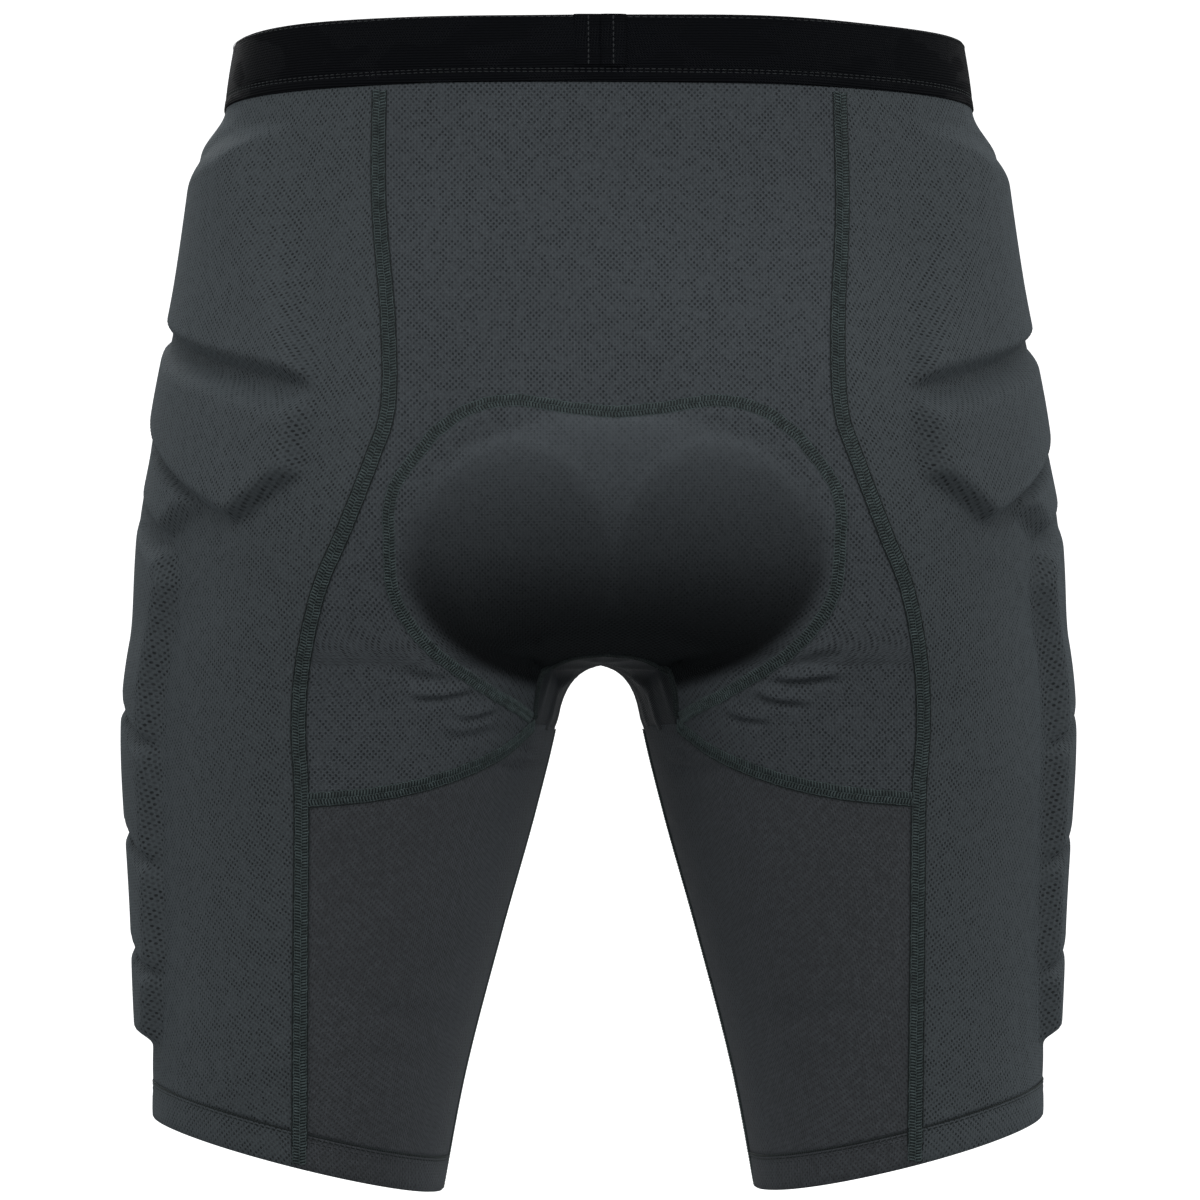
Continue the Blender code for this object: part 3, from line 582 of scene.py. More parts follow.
class Finish:
    """A Principled material and short ways to add nodes to it."""

    def __init__(self, name, colour, roughness, sheen=0.0, sheen_tint=(1, 1, 1), specular=0.5):
        self.material = bpy.data.materials.new(name)
        self.material.use_nodes = True
        self.tree = self.material.node_tree
        self.shader = self.tree.nodes["Principled BSDF"]
        self.material.diffuse_color = (*colour, 1)
        self.colour = colour
        values = {"Base Color": (*colour, 1), "Roughness": roughness, "Metallic": 0.0,
                  "Sheen Weight": sheen, "Sheen Roughness": 0.5, "Sheen Tint": (*sheen_tint, 1),
                  "Specular IOR Level": specular}
        for socket, value in values.items():
            self.shader.inputs[socket].default_value = value

    def add(self, kind, inputs=(), **settings):
        node = self.tree.nodes.new(kind)
        for key, value in settings.items():
            setattr(node, key, value)
        for key, value in dict(inputs).items():
            self.put(node.inputs[key], value)
        return node

    def put(self, socket, value):
        value = getattr(value, "socket", value)
        if isinstance(value, bpy.types.NodeSocket):
            self.tree.links.new(value, socket)
        else:
            socket.default_value = value

    def math(self, operation, *values):
        node = self.add("ShaderNodeMath", operation=operation)
        for socket, value in zip(node.inputs, values):
            self.put(socket, value)
        return Value(self, node.outputs[0])

    def length(self, x, y):
        return self.math("SQRT", x * x + y * y)

    def parts(self, vector):
        """The three numbers of a vector."""
        return [Value(self, part) for part in self.add("ShaderNodeSeparateXYZ", {0: vector}).outputs]

    def cloth(self):
        """The place on the cloth, in metres, as two numbers."""
        return self.parts(self.add("ShaderNodeUVMap", uv_map="cloth").outputs[0])[:2]

    def place(self):
        return self.add("ShaderNodeTexCoord").outputs["Object"]

    def noise(self, scale, detail=2.0, roughness=0.5, place=None):
        values = {"Vector": self.place() if place is None else place, "Scale": scale, "Detail": detail,
                  "Roughness": roughness}
        return Value(self, self.add("ShaderNodeTexNoise", values).outputs["Fac"])

    def ranged(self, value, low, high, to_low=0.0, to_high=1.0, kind="LINEAR"):
        values = {"Value": value, "From Min": low, "From Max": high, "To Min": to_low, "To Max": to_high}
        return Value(self, self.add("ShaderNodeMapRange", values, interpolation_type=kind).outputs[0])

    def faded(self, value, low, high, to_low=0.0, to_high=1.0):
        return self.ranged(value, low, high, to_low, to_high, "SMOOTHSTEP")

    def blend(self, share, first, second):
        node = self.add("ShaderNodeMix", data_type="RGBA")
        for key, value in ((0, share), (6, first), (7, second)):
            self.put(node.inputs[key], value)
        return node.outputs[2]

    def scaled(self, colour, factor):
        return self.blend(factor, (0, 0, 0, 1), colour)

    def paint(self, colour):
        self.put(self.shader.inputs["Base Color"], colour)

    def relief(self, height, distance, strength=1.0):
        bump = self.add("ShaderNodeBump", {"Strength": strength, "Distance": distance, "Height": height})
        self.put(self.shader.inputs["Normal"], bump.outputs[0])

    def wave(self, value, pitch):
        """A wave from -1 to 1 that repeats each pitch."""
        return self.math("SINE", value * (2 * np.pi / pitch))


def pale(colour, factor):
    return (*[c * factor for c in colour], 1)


def mottled(finish, dark=0.9, light=1.1, scale=9.0):
    """The base colour with broad, faint dye variation and a finer one from the yarn."""
    broad = finish.ranged(finish.noise(scale, 3.0), 0.3, 0.7)
    fine = finish.ranged(finish.noise(900.0, 1.0), 0.3, 0.7)
    base = finish.blend(broad, pale(finish.colour, dark), pale(finish.colour, light))
    return finish.blend(fine * 0.30, base, pale(finish.colour, 1.8))


def pinholes(finish, across, up, wide, tall):
    """1 in the middle of each pinhole of a staggered mesh and 0 on the knit between them."""
    u, v = finish.cloth()
    row = v / up
    column = u / across + finish.math("FLOOR", row) % 2.0 * 0.5
    x = (finish.math("FRACT", column) - 0.5) * (across / wide)
    y = (finish.math("FRACT", row) - 0.5) * (up / tall)
    return finish.faded(finish.length(x, y), 0.6, 1.25, 1.0, 0.0)


def mesh_knit(name, colour, holes=0.7, seat=False):
    """A matt knit with small staggered pinholes between fine upright ribs."""
    finish = Finish(name, colour, 0.82, sheen=0.04 if seat else 0.10, sheen_tint=(0.75, 0.9, 1.0),
                    specular=0.07 if seat else 0.2)
    u, v = finish.cloth()
    base = mottled(finish)
    ribs = finish.wave(u, 0.0012)
    courses = finish.wave(v, 0.00062)
    base = finish.blend(finish.ranged(ribs, -1, 1, 0.0, 0.14), base, pale(colour, 0.55))
    hole = pinholes(finish, 0.0024, 0.00125, 0.00048, 0.00058)
    hole = hole * finish.ranged(finish.noise(300.0, 1.0), 0.40, 0.60, 0.35)
    base = finish.blend(hole * holes, base, pale(colour, 0.12))
    # on the seat, painted light and shade goes into the colour: lighter at the top, near black under the body
    if seat:
        base = seat_painted_shade(finish, base)
    finish.paint(base)
    finish.relief(ribs * 0.16 + courses * 0.10 - hole, 0.0004, 0.8)
    return finish.material


def seat_painted_shade(finish, base):
    """The seat pad's cloth with painted light and shade: a painted highlight at the top that runs down to
    painted near-black shade under the body, and painted shade over the two lobes.
    """
    x, _, height = finish.parts(finish.place())
    side = finish.math("ABSOLUTE", x)

    def oval(middle, high, wide, tall, most):
        away = finish.length((side - middle) / wide, (height - high) / tall)
        return finish.faded(away, 0.90, 1.02, most, 0.0)

    # painted light and shade by height: lighter than the cloth at the top, darker towards the bottom
    fade = finish.math("POWER", finish.ranged(height, 0.232, 0.322, 0.06), 1.5)
    painted_light_and_shade = finish.scaled(pale(finish.colour, 1.62), fade)
    detail = finish.blend(0.62, base, painted_light_and_shade)
    # painted near-black shade under the body
    detail = finish.scaled(detail, finish.ranged(height, 0.222, 0.268, 0.02))
    # painted shade over the two lobes
    detail = finish.blend(oval(0.040, 0.262, 0.040, 0.050, 0.16), detail, pale(finish.colour, 0.1))
    return finish.blend(oval(0, 0.266, 0.089, 0.060, 1.0), base, detail)


def plain_knit(name, colour, sheen=0.12, roughness=0.68, dots=0.85):
    """A fine stretch knit: close upright wales and faint dots."""
    finish = Finish(name, colour, roughness, sheen=sheen, sheen_tint=(0.8, 0.9, 1.0), specular=0.3)
    u, v = finish.cloth()
    base = mottled(finish, 0.86, 1.14, 14.0)
    grain = finish.ranged(finish.noise(420.0, 2.0, 0.7), 0.36, 0.64)
    base = finish.blend(grain * 0.45, base, pale(colour, 0.2))
    wales = finish.wave(u, 0.0010)
    courses = finish.wave(v, 0.0006)
    base = finish.blend(finish.ranged(wales, -1, 1, 0.0, 0.16), base, pale(colour, 0.5))
    dot = pinholes(finish, 0.0024, 0.0012, 0.00042, 0.00048)
    finish.paint(finish.blend(dot * dots, base, pale(colour, 0.3)))
    finish.relief(wales * 0.5 + courses * 0.3 - dot * dots, 0.0002, 0.7)
    return finish.material


def elastic(name, colour):
    """A black woven elastic with soft patches of a second weave."""
    finish = Finish(name, colour, 0.70, sheen=0.0, specular=0.07)
    u, v = finish.cloth()
    stretched = finish.add("ShaderNodeMapping", {"Vector": finish.place()})
    stretched.inputs["Scale"].default_value = (1.0, 1.0, 2.2)
    patches = finish.noise(34.0, 2.5, 0.45, stretched.outputs[0])
    patches = finish.faded(patches, 0.49, 0.53)
    rungs = finish.wave(v, 0.0011)
    slant = finish.wave(u + v, 0.0012)
    base = finish.blend(patches, pale(colour, 0.90), pale(colour, 1.12))
    finish.paint(finish.blend(finish.ranged(rungs, -1, 1, 0.0, 0.3), base, pale(colour, 0.4)))
    finish.put(finish.shader.inputs["Roughness"], finish.ranged(patches, 0, 1, 0.72, 0.55))
    finish.relief(rungs + slant * patches, 0.00022, 0.7)
    return finish.material


def thread(name, colour, spread=0.5):
    """Twisted thread that varies a little from stitch to stitch."""
    finish = Finish(name, colour, 0.62, sheen=0.10, sheen_tint=(0.8, 1.0, 0.95), specular=0.25)
    each = finish.ranged(finish.noise(420.0, 1.0), 0.3, 0.7)
    broad = finish.ranged(finish.noise(28.0, 2.0), 0.35, 0.65)
    base = finish.blend(each, pale(colour, 1 - spread), pale(colour, 1 + spread))
    finish.paint(finish.blend(broad * 0.25, base, pale(colour, 0.6)))
    finish.relief(finish.noise(2600.0, 1.0), 0.00015, 0.6)
    return finish.material


def foam(name, colour):
    """Moulded closed-cell foam with a fine skin."""
    finish = Finish(name, colour, 0.88, specular=0.3)
    cells = finish.add("ShaderNodeTexVoronoi", {"Vector": finish.place(), "Scale": 900.0})
    broad = finish.ranged(finish.noise(30.0, 3.0), 0.3, 0.7)
    finish.paint(finish.blend(broad, pale(colour, 0.85), pale(colour, 1.2)))
    finish.relief(cells.outputs["Distance"], 0.0003, 0.5)
    return finish.material


def lining(name, colour):
    """A thin brushed lining with a fine diamond grid."""
    finish = Finish(name, colour, 0.85, sheen=0.3, specular=0.3)
    u, v = finish.cloth()
    grid = finish.math("MAXIMUM", finish.wave(u + v, 0.0030), finish.wave(u - v, 0.0030))
    finish.paint(finish.blend(finish.ranged(grid, 0.5, 1.0, 0.0, 0.6), mottled(finish), pale(colour, 0.5)))
    finish.relief(grid * -0.6 + finish.noise(1500.0, 2.0), 0.0003, 0.6)
    return finish.material


# every finish by its key
MATERIALS = {
    "mesh_knit": mesh_knit("mesh_knit_fabric", (0.047, 0.053, 0.058)),
    # the seat's copy of the mesh knit, with painted light and shade in its colour
    "mesh_knit_seat": mesh_knit("mesh_knit_seat_painted_shade", (0.050, 0.0565, 0.062), seat=True),
    "side_knit": mesh_knit("side_knit_fabric", (0.0450, 0.0525, 0.0570), holes=0.85),
    "plain_knit": plain_knit("plain_knit_fabric", (0.036, 0.040, 0.045)),
    "gusset_knit": plain_knit("gusset_knit_fabric", (0.007, 0.008, 0.010), 0.10, 0.5, 0.1),
    "elastic": elastic("elastic_weave", (0.0016, 0.0021, 0.0034)),
    "elastic_thread": thread("elastic_thread", (0.010, 0.010, 0.013), 0.3),
    "seam_base": thread("seam_base_thread", (0.006, 0.010, 0.011), 0.25),
    "seam_thread": thread("seam_cross_thread", (0.044, 0.061, 0.062), 0.40),
    # a darker copy of the cross thread, as painted shade on the gusset seams
    "dark_thread": thread("dark_cross_thread", (0.010, 0.015, 0.016), 0.35),
    # near-black thread that paints shadow: rows beside the long and cross seams, the hem's rows and fold, and
    # the gusset seams' band
    "seam_shadow": thread("seam_shadow_thread", (0.002, 0.004, 0.005), 0.2),
    "foam": foam("foam_skin", (0.030, 0.030, 0.033)),
    "lining": lining("brushed_lining", (0.020, 0.021, 0.024)),
}


# ---- relief of the fabric over the pads ----
def on_plate(places):
    """(turn, height) as metres on the flattened side of the leg."""
    places = np.asarray(places, float)
    return np.stack([places[..., 0] * profile(SPREAD, places[..., 1]), places[..., 1]], -1)


def inside_of(a, b, at):
    """Distance of places to the left of the line from a to b."""
    way = (b - a) / np.linalg.norm(b - a)
    return way[0] * (at[..., 1] - a[1]) - way[1] * (at[..., 0] - a[0])


def frustum(outline, face, at):
    """0 outside the outline, 1 on the raised face, and sloping between the two."""
    outline, face = on_plate(outline), on_plate(face)
    share = np.ones(at.shape[:-1])
    for a, b, c, d in zip(outline, np.roll(outline, -1, 0), face, np.roll(face, -1, 0)):
        base, ridge = inside_of(a, b, at), inside_of(c, d, at)
        side = base / np.maximum(base - np.minimum(ridge, 0), 1e-6)
        share = np.minimum(share, np.where(base > 0, side, 0))
    return share


def to_line(line, at):
    """Distance of places from a line of straight stretches."""
    nearest = np.full(at.shape[:-1], 1.0)
    for a, b in zip(line[:-1], line[1:]):
        way = b - a
        share = np.clip(((at - a) @ way) / (way @ way), 0, 1)
        nearest = np.minimum(nearest, np.linalg.norm(at - a - share[..., None] * way, axis=-1))
    return nearest


def within(outline, at):
    """Distance inside a closed outline, below zero outside it."""
    outline = on_plate(outline)
    crossings = np.zeros(at.shape[:-1], int)
    for a, b in zip(outline, np.roll(outline, -1, 0)):
        spans = (a[1] > at[..., 1]) != (b[1] > at[..., 1])
        level_x = a[0] + (at[..., 1] - a[1]) * (b[0] - a[0]) / (b[1] - a[1] if b[1] != a[1] else 1)
        crossings += spans & (at[..., 0] < level_x)
    away = to_line(np.concatenate([outline, outline[:1]]), at)
    return np.where(crossings % 2 == 1, away, -away)


def eased(share):
    """Nearly straight slopes with softened ends."""
    return 0.45 * share + 0.55 * smooth(share)


def side_relief(turn, height):
    """How far the side fabric stands off the skin over the pads."""
    at = on_plate(np.stack([turn, height], -1))
    rise = np.zeros(at.shape[:-1])
    for outline, face, stands in HIP_PADS.values():
        rise = np.maximum(rise, stands * eased(frustum(outline, face, at)))
    side_on = smooth((turn + 40) / 36) * smooth((58 - turn) / 14)
    hips = smooth((height - 0.262) / 0.012) * smooth((0.452 - height) / 0.02)
    rise = np.maximum(rise, 0.0076 * side_on * hips)
    plate = eased(np.clip(within(THIGH_PLATE, at) / 0.0065, 0, 1)) * profile(THIGH_STANDS, height)
    for crease in THIGH_CREASES:
        cut = np.clip(1 - to_line(on_plate(crease), at) / 0.0048, 0, 1) ** 1.3
        plate = plate * (1 - cut * np.where(turn < -10, 0.62, 0.30))
    return np.maximum(rise, plate)


def folds(x, height, table):
    """Small creases, each with a softer ridge above it."""
    total = np.zeros(np.shape(x))
    for x0, z0, x1, z1, wide, deep in table:
        way = np.array([x1 - x0, z1 - z0])
        length = np.linalg.norm(way)
        way = way / length
        share = ((x - x0) * way[0] + (height - z0) * way[1]) / length
        off = (height - z0) * way[0] - (x - x0) * way[1]
        off = off + 0.0010 * np.sin(share * 5.0)
        ends = np.exp(-((share - 0.5) / 0.42) ** 4)
        ridge = 0.75 * np.exp(-((off - 1.9 * wide) / (1.5 * wide)) ** 2)
        total += ends * deep * (ridge - np.exp(-(off / wide) ** 2))
    return total


def seat_loop():
    """The seam round the seat pad on the right half, as (x, height)."""
    return chain(spaced(SEAT_TOP, evenly(60)), spaced(SEAT_SIDE, evenly(120)))


def seat_relief(x, height):
    """How far the seat fabric stands off the skin over the pad's base and its two lobes."""
    loop = seat_loop()
    side = np.abs(x)
    at = np.stack([side, height], -1)
    away = to_line(loop, at)
    angle = np.unwrap(np.arctan2(loop[:, 1] - SEAT_MIDDLE, loop[:, 0]))[::-1]
    radius = np.hypot(loop[:, 0], loop[:, 1] - SEAT_MIDDLE)[::-1]
    here = np.arctan2(height - SEAT_MIDDLE, side)
    inside = np.hypot(side, height - SEAT_MIDDLE) < np.interp(here, angle, radius)
    clear = smooth(to_line(gusset_line(), at) / 0.020)
    x, z = side - LOBE_PLACE[0], height - LOBE_PLACE[1]
    turned = (x * np.cos(LOBE_LEAN) - z * np.sin(LOBE_LEAN), x * np.sin(LOBE_LEAN) + z * np.cos(LOBE_LEAN))
    lobe = sum(np.abs(way / half) ** LOBE_ROUNDNESS for way, half in zip(turned, LOBE_HALF))
    lobe = lobe ** (1 / LOBE_ROUNDNESS)
    body = np.hypot(side / 0.060, (height - 0.256) / 0.050)
    swell = 1 - (1 - smooth((1.0 - lobe) / 0.26)) * (1 - 0.92 * smooth((1.0 - body) / 0.6))
    return (SEAT_BASE_LIFT * smooth(away / 0.006) + LOBE_LIFT * swell) * inside * clear


# ---- panels ----
def cloth_behind(x, height, side):
    """The place on the cloth of points seen flat on, in metres from the middle and the top."""
    step, rise, most = 0.001, 0.002, 1.6     # of a coarse grid, and how far the cloth may stretch
    across, up = np.arange(0, 0.1401, step), np.arange(0.16, 0.4761, rise)
    ground = facing(*np.meshgrid(across, up), side)
    u = running(np.minimum(np.linalg.norm(np.diff(ground, axis=1), axis=-1), most * step), 1)
    v = running(np.minimum(np.linalg.norm(np.diff(ground, axis=0), axis=-1), most * rise))
    v = v - v[-1:]
    column = np.clip(np.abs(x) / step, 0, len(across) - 1.001)
    row = np.clip((height - up[0]) / rise, 0, len(up) - 1.001)
    c, r = column.astype(int), row.astype(int)
    dc, dr = column - c, row - r

    def read(table):
        low = (1 - dc) * table[r, c] + dc * table[r, c + 1]
        high = (1 - dc) * table[r + 1, c] + dc * table[r + 1, c + 1]
        return (1 - dr) * low + dr * high

    return np.stack([np.sign(x) * read(u), read(v)], -1)


def centre_panel(name, edge, side, columns, rows, kind, relief):
    """The panel between the two long seams, down to the cross seams and the gusset."""
    cross = along(cross_line(edge), np.linspace(1, 0, 60))
    bottom = chain(along(gusset_line(), evenly(60))[::-1], cross)
    across, up = evenly(columns), evenly(rows) ** 1.15
    bottom = along(bottom, across)
    head = meets(seam_on(edge, side, CROSS_HEIGHT, SEAM_TOP), waist_line)[1]
    right = along(part_of(edge, CROSS_HEIGHT, head), up)
    top = waist_across(right[-1, 0] * across, side)
    left = np.stack([np.zeros(rows), between(bottom[0, 1], top[0, 1], up)], -1)
    places = patch(bottom, top, left, right, across, up)
    half = facing(*split(places), side)
    x, height = split(both_halves(places))
    grid = lifted(both_halves(half), FABRIC + relief(x, height))
    sheet(name, grid, kind, uv=cloth_behind(x, height, side))


def waist_across(x, side):
    """The waistband's lower edge as (x, height), behind or in front."""
    height = np.full(x.shape, WAIST_HEIGHT)
    for _ in range(4):
        height = waist_line(facing(x, height, side))
    return np.stack([x, height], -1)


def back_relief(x, height):
    """The seat pad, and the folds beside it where they keep off the seams."""
    long_x = np.interp(height, *part_of(BACK_SEAM, CROSS_HEIGHT, 0.466).T[::-1])
    off_seat_seam = to_line(seat_loop(), np.stack([np.abs(x), height], -1)) - SEAT_SEAM_WIDTH / 2
    free = smooth((long_x - np.abs(x)) / 0.008) * smooth(off_seat_seam / 0.005)
    return seat_relief(x, height) + free * folds(x, height, BACK_FOLDS)


def front_relief(x, height):
    """A slight fullness in front, as worn shorts have."""
    away = np.hypot(x / 0.062, (height - 0.285) / 0.075)
    return 0.0022 * smooth(1 - away)


def side_panels():
    """The panels over the side pads, from the long back seam round to the long front seam."""
    across, up = evenly(184), evenly(262)
    left, right = along_turns(long_seam(BACK_SEAM, -1), up), along_turns(long_seam(FRONT_SEAM, 1), up)
    bottom = level(between(left[0, 0], right[0, 0], across), hem_top)
    top = level(between(left[-1, 0], right[-1, 0], across), waist_line)
    places = patch(bottom, top, left, right, across, up)
    ground = skin(*split(places))
    rise = softened(side_relief(*split(places)), 1)
    at = on_plate(places)
    for line in BOND_LINES:
        rise = rise + 0.00035 * np.exp(-(to_line(on_plate(line), at) / 0.0011) ** 2)
    turn, height = split(places)
    rise = rise + 0.00025 * np.sin(height * 150 + turn * 0.11) * smooth((0.07 - height) / 0.02)
    grid = lifted(ground, FABRIC + rise)
    uv = cloth_map(ground)
    for hand, flip in HANDS:
        sheet(hand + "side_panel", grid * [flip, 1, 1], "side_knit", uv=uv)


def inner_panel(name, edge, side):
    """The panel inside the leg, from a long seam to the inside leg seam."""
    across, up = evenly(72), evenly(96)
    seam = seam_on(edge, side, SEAM_FOOT, CROSS_HEIGHT)
    foot = meets(seam, hem_top)
    left = along_turns(np.concatenate([[foot], seam[seam[:, 1] > foot[1] + 0.002]]), up)
    flat = cross_line(edge)
    high = turn_of(facing(*flat.T, side))
    inside = np.array([180.0 * side, gusset_foot_height()])
    top = along_turns(np.concatenate([high, [inside]]), across)
    bottom = level(between(left[0, 0], inside[0], across), hem_top)
    right = np.stack([np.full(len(up), inside[0]), between(bottom[-1, 1], inside[1], up)], -1)
    places = patch(bottom, top, left, right, across, up)
    ground = skin(*split(places))
    inner = np.minimum(across, 1 - across) * np.ones((len(up), 1))
    free = smooth(inner / 0.06) * smooth(np.minimum(up, 1 - up) / 0.05)[:, None]
    for hand, flip in HANDS:
        shift = 0.003 if flip < 0 else 0.0
        rise = FABRIC + free * folds(ground[..., 0] + shift, ground[..., 2], LEG_FOLDS)
        grid = lifted(ground, rise) * [flip, 1, 1]
        sheet(hand + name, grid, "plain_knit", uv=cloth_map(ground))


def arch(swing, y):
    """The skin between the legs, at a swing from straight up, in degrees, and a depth."""
    swing, y = np.broadcast_arrays(np.radians(swing), np.asarray(y, float))
    start = np.stack([np.zeros(y.shape), y, np.full(y.shape, GUSSET_AXIS)], -1)
    return reach(start, np.stack([np.sin(swing), np.zeros(y.shape), np.cos(swing)], -1))


def gusset_edge(side, shares):
    """The gusset's back or front edge on the right half, as (swing, y)."""
    flat = along(gusset_line(), shares)
    points = facing(*flat.T, side)
    swing = np.degrees(np.arctan2(points[:, 0], points[:, 2] - GUSSET_AXIS))
    return np.stack([swing, points[:, 1]], -1)


def gusset_foot_height():
    swing = gusset_edge(-1, np.array([0.0]))[0, 0]
    return float(arch(swing, AXIS_Y)[2])


def gusset():
    """The panel between the legs, with slanting creases."""
    shares, length = evenly(36), evenly(60)
    back, front = gusset_edge(-1, shares), gusset_edge(1, shares)
    swing, y = split(between(back, front, length[:, None, None]))
    tucked = smooth(1 - shares / 0.15) * np.sin(np.pi * length)[:, None]
    half = arch(swing + 7 * tucked, y)
    half[:, -1, 0] = 0
    whole = np.concatenate([half, mirrored(half[:, -2::-1])], 1)
    slanted = np.sin(whole[..., 1] * 420 + np.abs(whole[..., 0]) * 260) * 0.5 + 0.5
    margin = np.minimum(length, 1 - length)[:, None] * np.ones(whole.shape[:2])
    rise = FABRIC + 0.0009 * slanted ** 3 * smooth(margin / 0.08)
    rise = rise - 0.0009 * np.concatenate([tucked, tucked[:, -2::-1]], 1)
    sheet("crotch_gusset", lifted(whole, rise), "gusset_knit")


# ---- waistband and hems ----
# The section of each closed band: (share of its height, how far it stands off the skin), once round.
BAND_SECTION = [(-0.028, 0.0008), (-0.030, 0.0012), (-0.012, 0.00155), (0.10, 0.0016), (0.135, 0.0012),
                (0.16, 0.0012), (0.20, 0.0016), (0.36, 0.0017), (0.52, 0.00175), (0.68, 0.0017),
                (0.84, 0.0016), (0.95, 0.0015), (0.985, 0.0011), (1.0, 0.0004), (0.985, -0.0003),
                (0.95, -0.0006), (0.5, -0.0006), (0.04, -0.0006), (-0.01, -0.0003), (-0.025, 0.0003)]
HEM_SECTION = [(0.0, 0.0000), (0.015, 0.0009), (0.06, 0.0013), (0.25, 0.0014), (0.55, 0.0013), (0.70, 0.0011),
               (0.80, 0.0012), (0.86, 0.0009), (0.93, 0.0012), (0.975, 0.0010), (0.99, 0.0002),
               (0.98, -0.0006), (0.90, -0.0009), (0.5, -0.0009), (0.06, -0.0009), (0.015, -0.0006)]
# Rows of stitches: share of the band's height, then pitch, length, thickness and lift.
WAISTBAND_ROWS = {
    "waistband_stitches_1": (0.125, 0.0026, 0.0020, 0.00042, 0.0014),
    "waistband_stitches_2": (0.168, 0.0026, 0.0020, 0.00042, 0.0014),
    "waistband_edge_stitches": (0.955, 0.0030, 0.0022, 0.0004, 0.0016),
}
# The hem's rows are near black: real stitch rows coloured as painted shadow, and a close row along the fold
# that paints its shade.
HEM_ROWS = {
    "hem_stitches_1": (0.79, 0.0024, 0.0021, 0.0006, 0.0010),
    "hem_stitches_2": (0.90, 0.0024, 0.0021, 0.0006, 0.0010),
    "hem_fold": (0.985, 0.0012, 0.0016, 0.0010, 0.0009),
}


def ring(name, low, high, section, kind, wave=0.0):
    """A closed band round the skin between two closed lines, with the section of its fabric."""
    shares = np.array([s for s, _ in section])[:, None, None]
    lifts = np.array([h for _, h in section])[:, None]
    ground = between(low, high, shares)
    ripple = wave * np.sin(np.arange(low.shape[0]) * 0.145) * np.clip(shares[..., 0], 0, 1)
    ground = ground + np.array([0, 0, 1.0]) * ripple[..., None]
    points = lifted(ground, lifts * np.ones(ground.shape[:2]))
    uv = cloth_map(points)
    if not outward(points):
        points, uv = points[:, ::-1], uv[:, ::-1]
    rows, columns = points.shape[:2]
    faces = grid_faces(rows, columns, closed=True, looped=True)
    obj = new_mesh(name + "_fabric", points.reshape(-1, 3), faces, kind, uv.reshape(-1, 2))
    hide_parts(name)
    return obj


def stitched_rows(low, high, kind, rows):
    """Rows of stitches round a closed band, each at a share of its height."""
    low, high = [np.concatenate([line, line[:1]]) for line in (low, high)]
    for name, (share, *stitch) in rows.items():
        stitch_row(name, between(low, high, share), kind, *stitch)


def waistband():
    """The elastic, with two rows of stitches at its foot and one at its top edge."""
    at = np.array([WAIST_HEIGHT])
    turns = np.linspace(middle_turn(at, -1)[0], middle_turn(at, 1)[0], 110)
    lines = []
    for rule in (waist_line, waist_top):
        half = skin(*level(turns, rule).T)
        half[[0, -1], 0] = 0
        lines.append(np.concatenate([half, mirrored(half[-2:0:-1])]))
    low, high = lines
    ring("waistband", low, high, BAND_SECTION, "elastic", wave=0.0004)
    stitched_rows(low, high, "elastic_thread", WAISTBAND_ROWS)


def waistband_join():
    """The lapped join behind: two overlapping ends, each held by a row of stitches."""
    pieces = ((-0.0152, -0.0035, 0.0016, 0.0009), (-0.0046, 0.0060, 0.0020, 0.0011))
    for number, (start, stop, lift, thick) in enumerate(pieces):
        x = np.linspace(start, stop, 12)
        edge = np.minimum(np.arange(12), np.arange(12)[::-1])
        shares = np.linspace(0.20, 0.992, 16)[:, None]
        waist = waist_across(x, -1)[:, 1]
        low, high = facing(x, waist, -1), facing(x, waist + BAND_HEIGHT, -1)
        ground = between(low, high, shares[..., None])
        rise = lift + thick * 0.45 * smooth(edge / 2.0) * np.ones((16, 1))
        sheet(f"waistband_join_{number + 1}", lifted(ground, rise), "elastic",
              "" if number else "waistband_join_tab", thick)
        heights = np.linspace(low[0, 2] + 0.0060, high[0, 2] - 0.0006, 30)
        line = facing((start + stop) / 2, heights, -1)
        stitch_row(f"waistband_join_stitches_{number + 1}", line, "elastic_thread", 0.0021, 0.0017, 0.0006,
                   lift + thick * 0.5)


def hems():
    """The folded hems: side cloth outside the long seams and plain knit between them."""
    turns = np.linspace(-180, 180, 181)[:-1]
    low, high = skin(*level(turns, hem_line).T), skin(*level(turns, hem_top).T)
    back = meets(seam_on(BACK_SEAM, -1, 0.002, 0.1), hem_top)[0]
    front = meets(seam_on(FRONT_SEAM, 1, 0.002, 0.1), hem_top)[0]
    for hand, flip in HANDS:
        obj = ring(hand + "hem", low * [flip, 1, 1], high * [flip, 1, 1], HEM_SECTION, "plain_knit")
        obj.data.materials.append(MATERIALS["side_knit"])
        middles = np.array([p.center[:] for p in obj.data.polygons]) * [flip, 1, 1]
        turn = turn_of(middles)[:, 0]
        obj.data.polygons.foreach_set("material_index", ((turn > back) & (turn < front)).astype(np.int32))
        rows = {hand + name: row for name, row in HEM_ROWS.items()}
        # the hem's rows in near-black thread: painted shadow along the stitch lines and the fold
        stitched_rows(low * [flip, 1, 1], high * [flip, 1, 1], "seam_shadow", rows)


# ---- pads ----
def closed_block(name, outer, inner):
    """One closed body of foam between an outer and an inner grid."""
    rows, columns = outer.shape[:2]
    count = rows * columns
    top = grid_faces(rows, columns)
    index = np.arange(count).reshape(rows, columns)
    rim = np.concatenate([index[0], index[1:, -1], index[-1, -2::-1], index[-2:0:-1, 0]])
    after = np.roll(rim, -1)
    walls = np.stack([after, rim, count + rim, count + after], -1)
    points = np.concatenate([outer.reshape(-1, 3), inner.reshape(-1, 3)])
    obj = new_mesh(name + "_block", points, np.concatenate([top, top[:, ::-1] + count, walls]), "foam")
    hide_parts(name)
    return obj


PAD_INSET = 0.90         # how much smaller a foam pad is than the shape that it raises


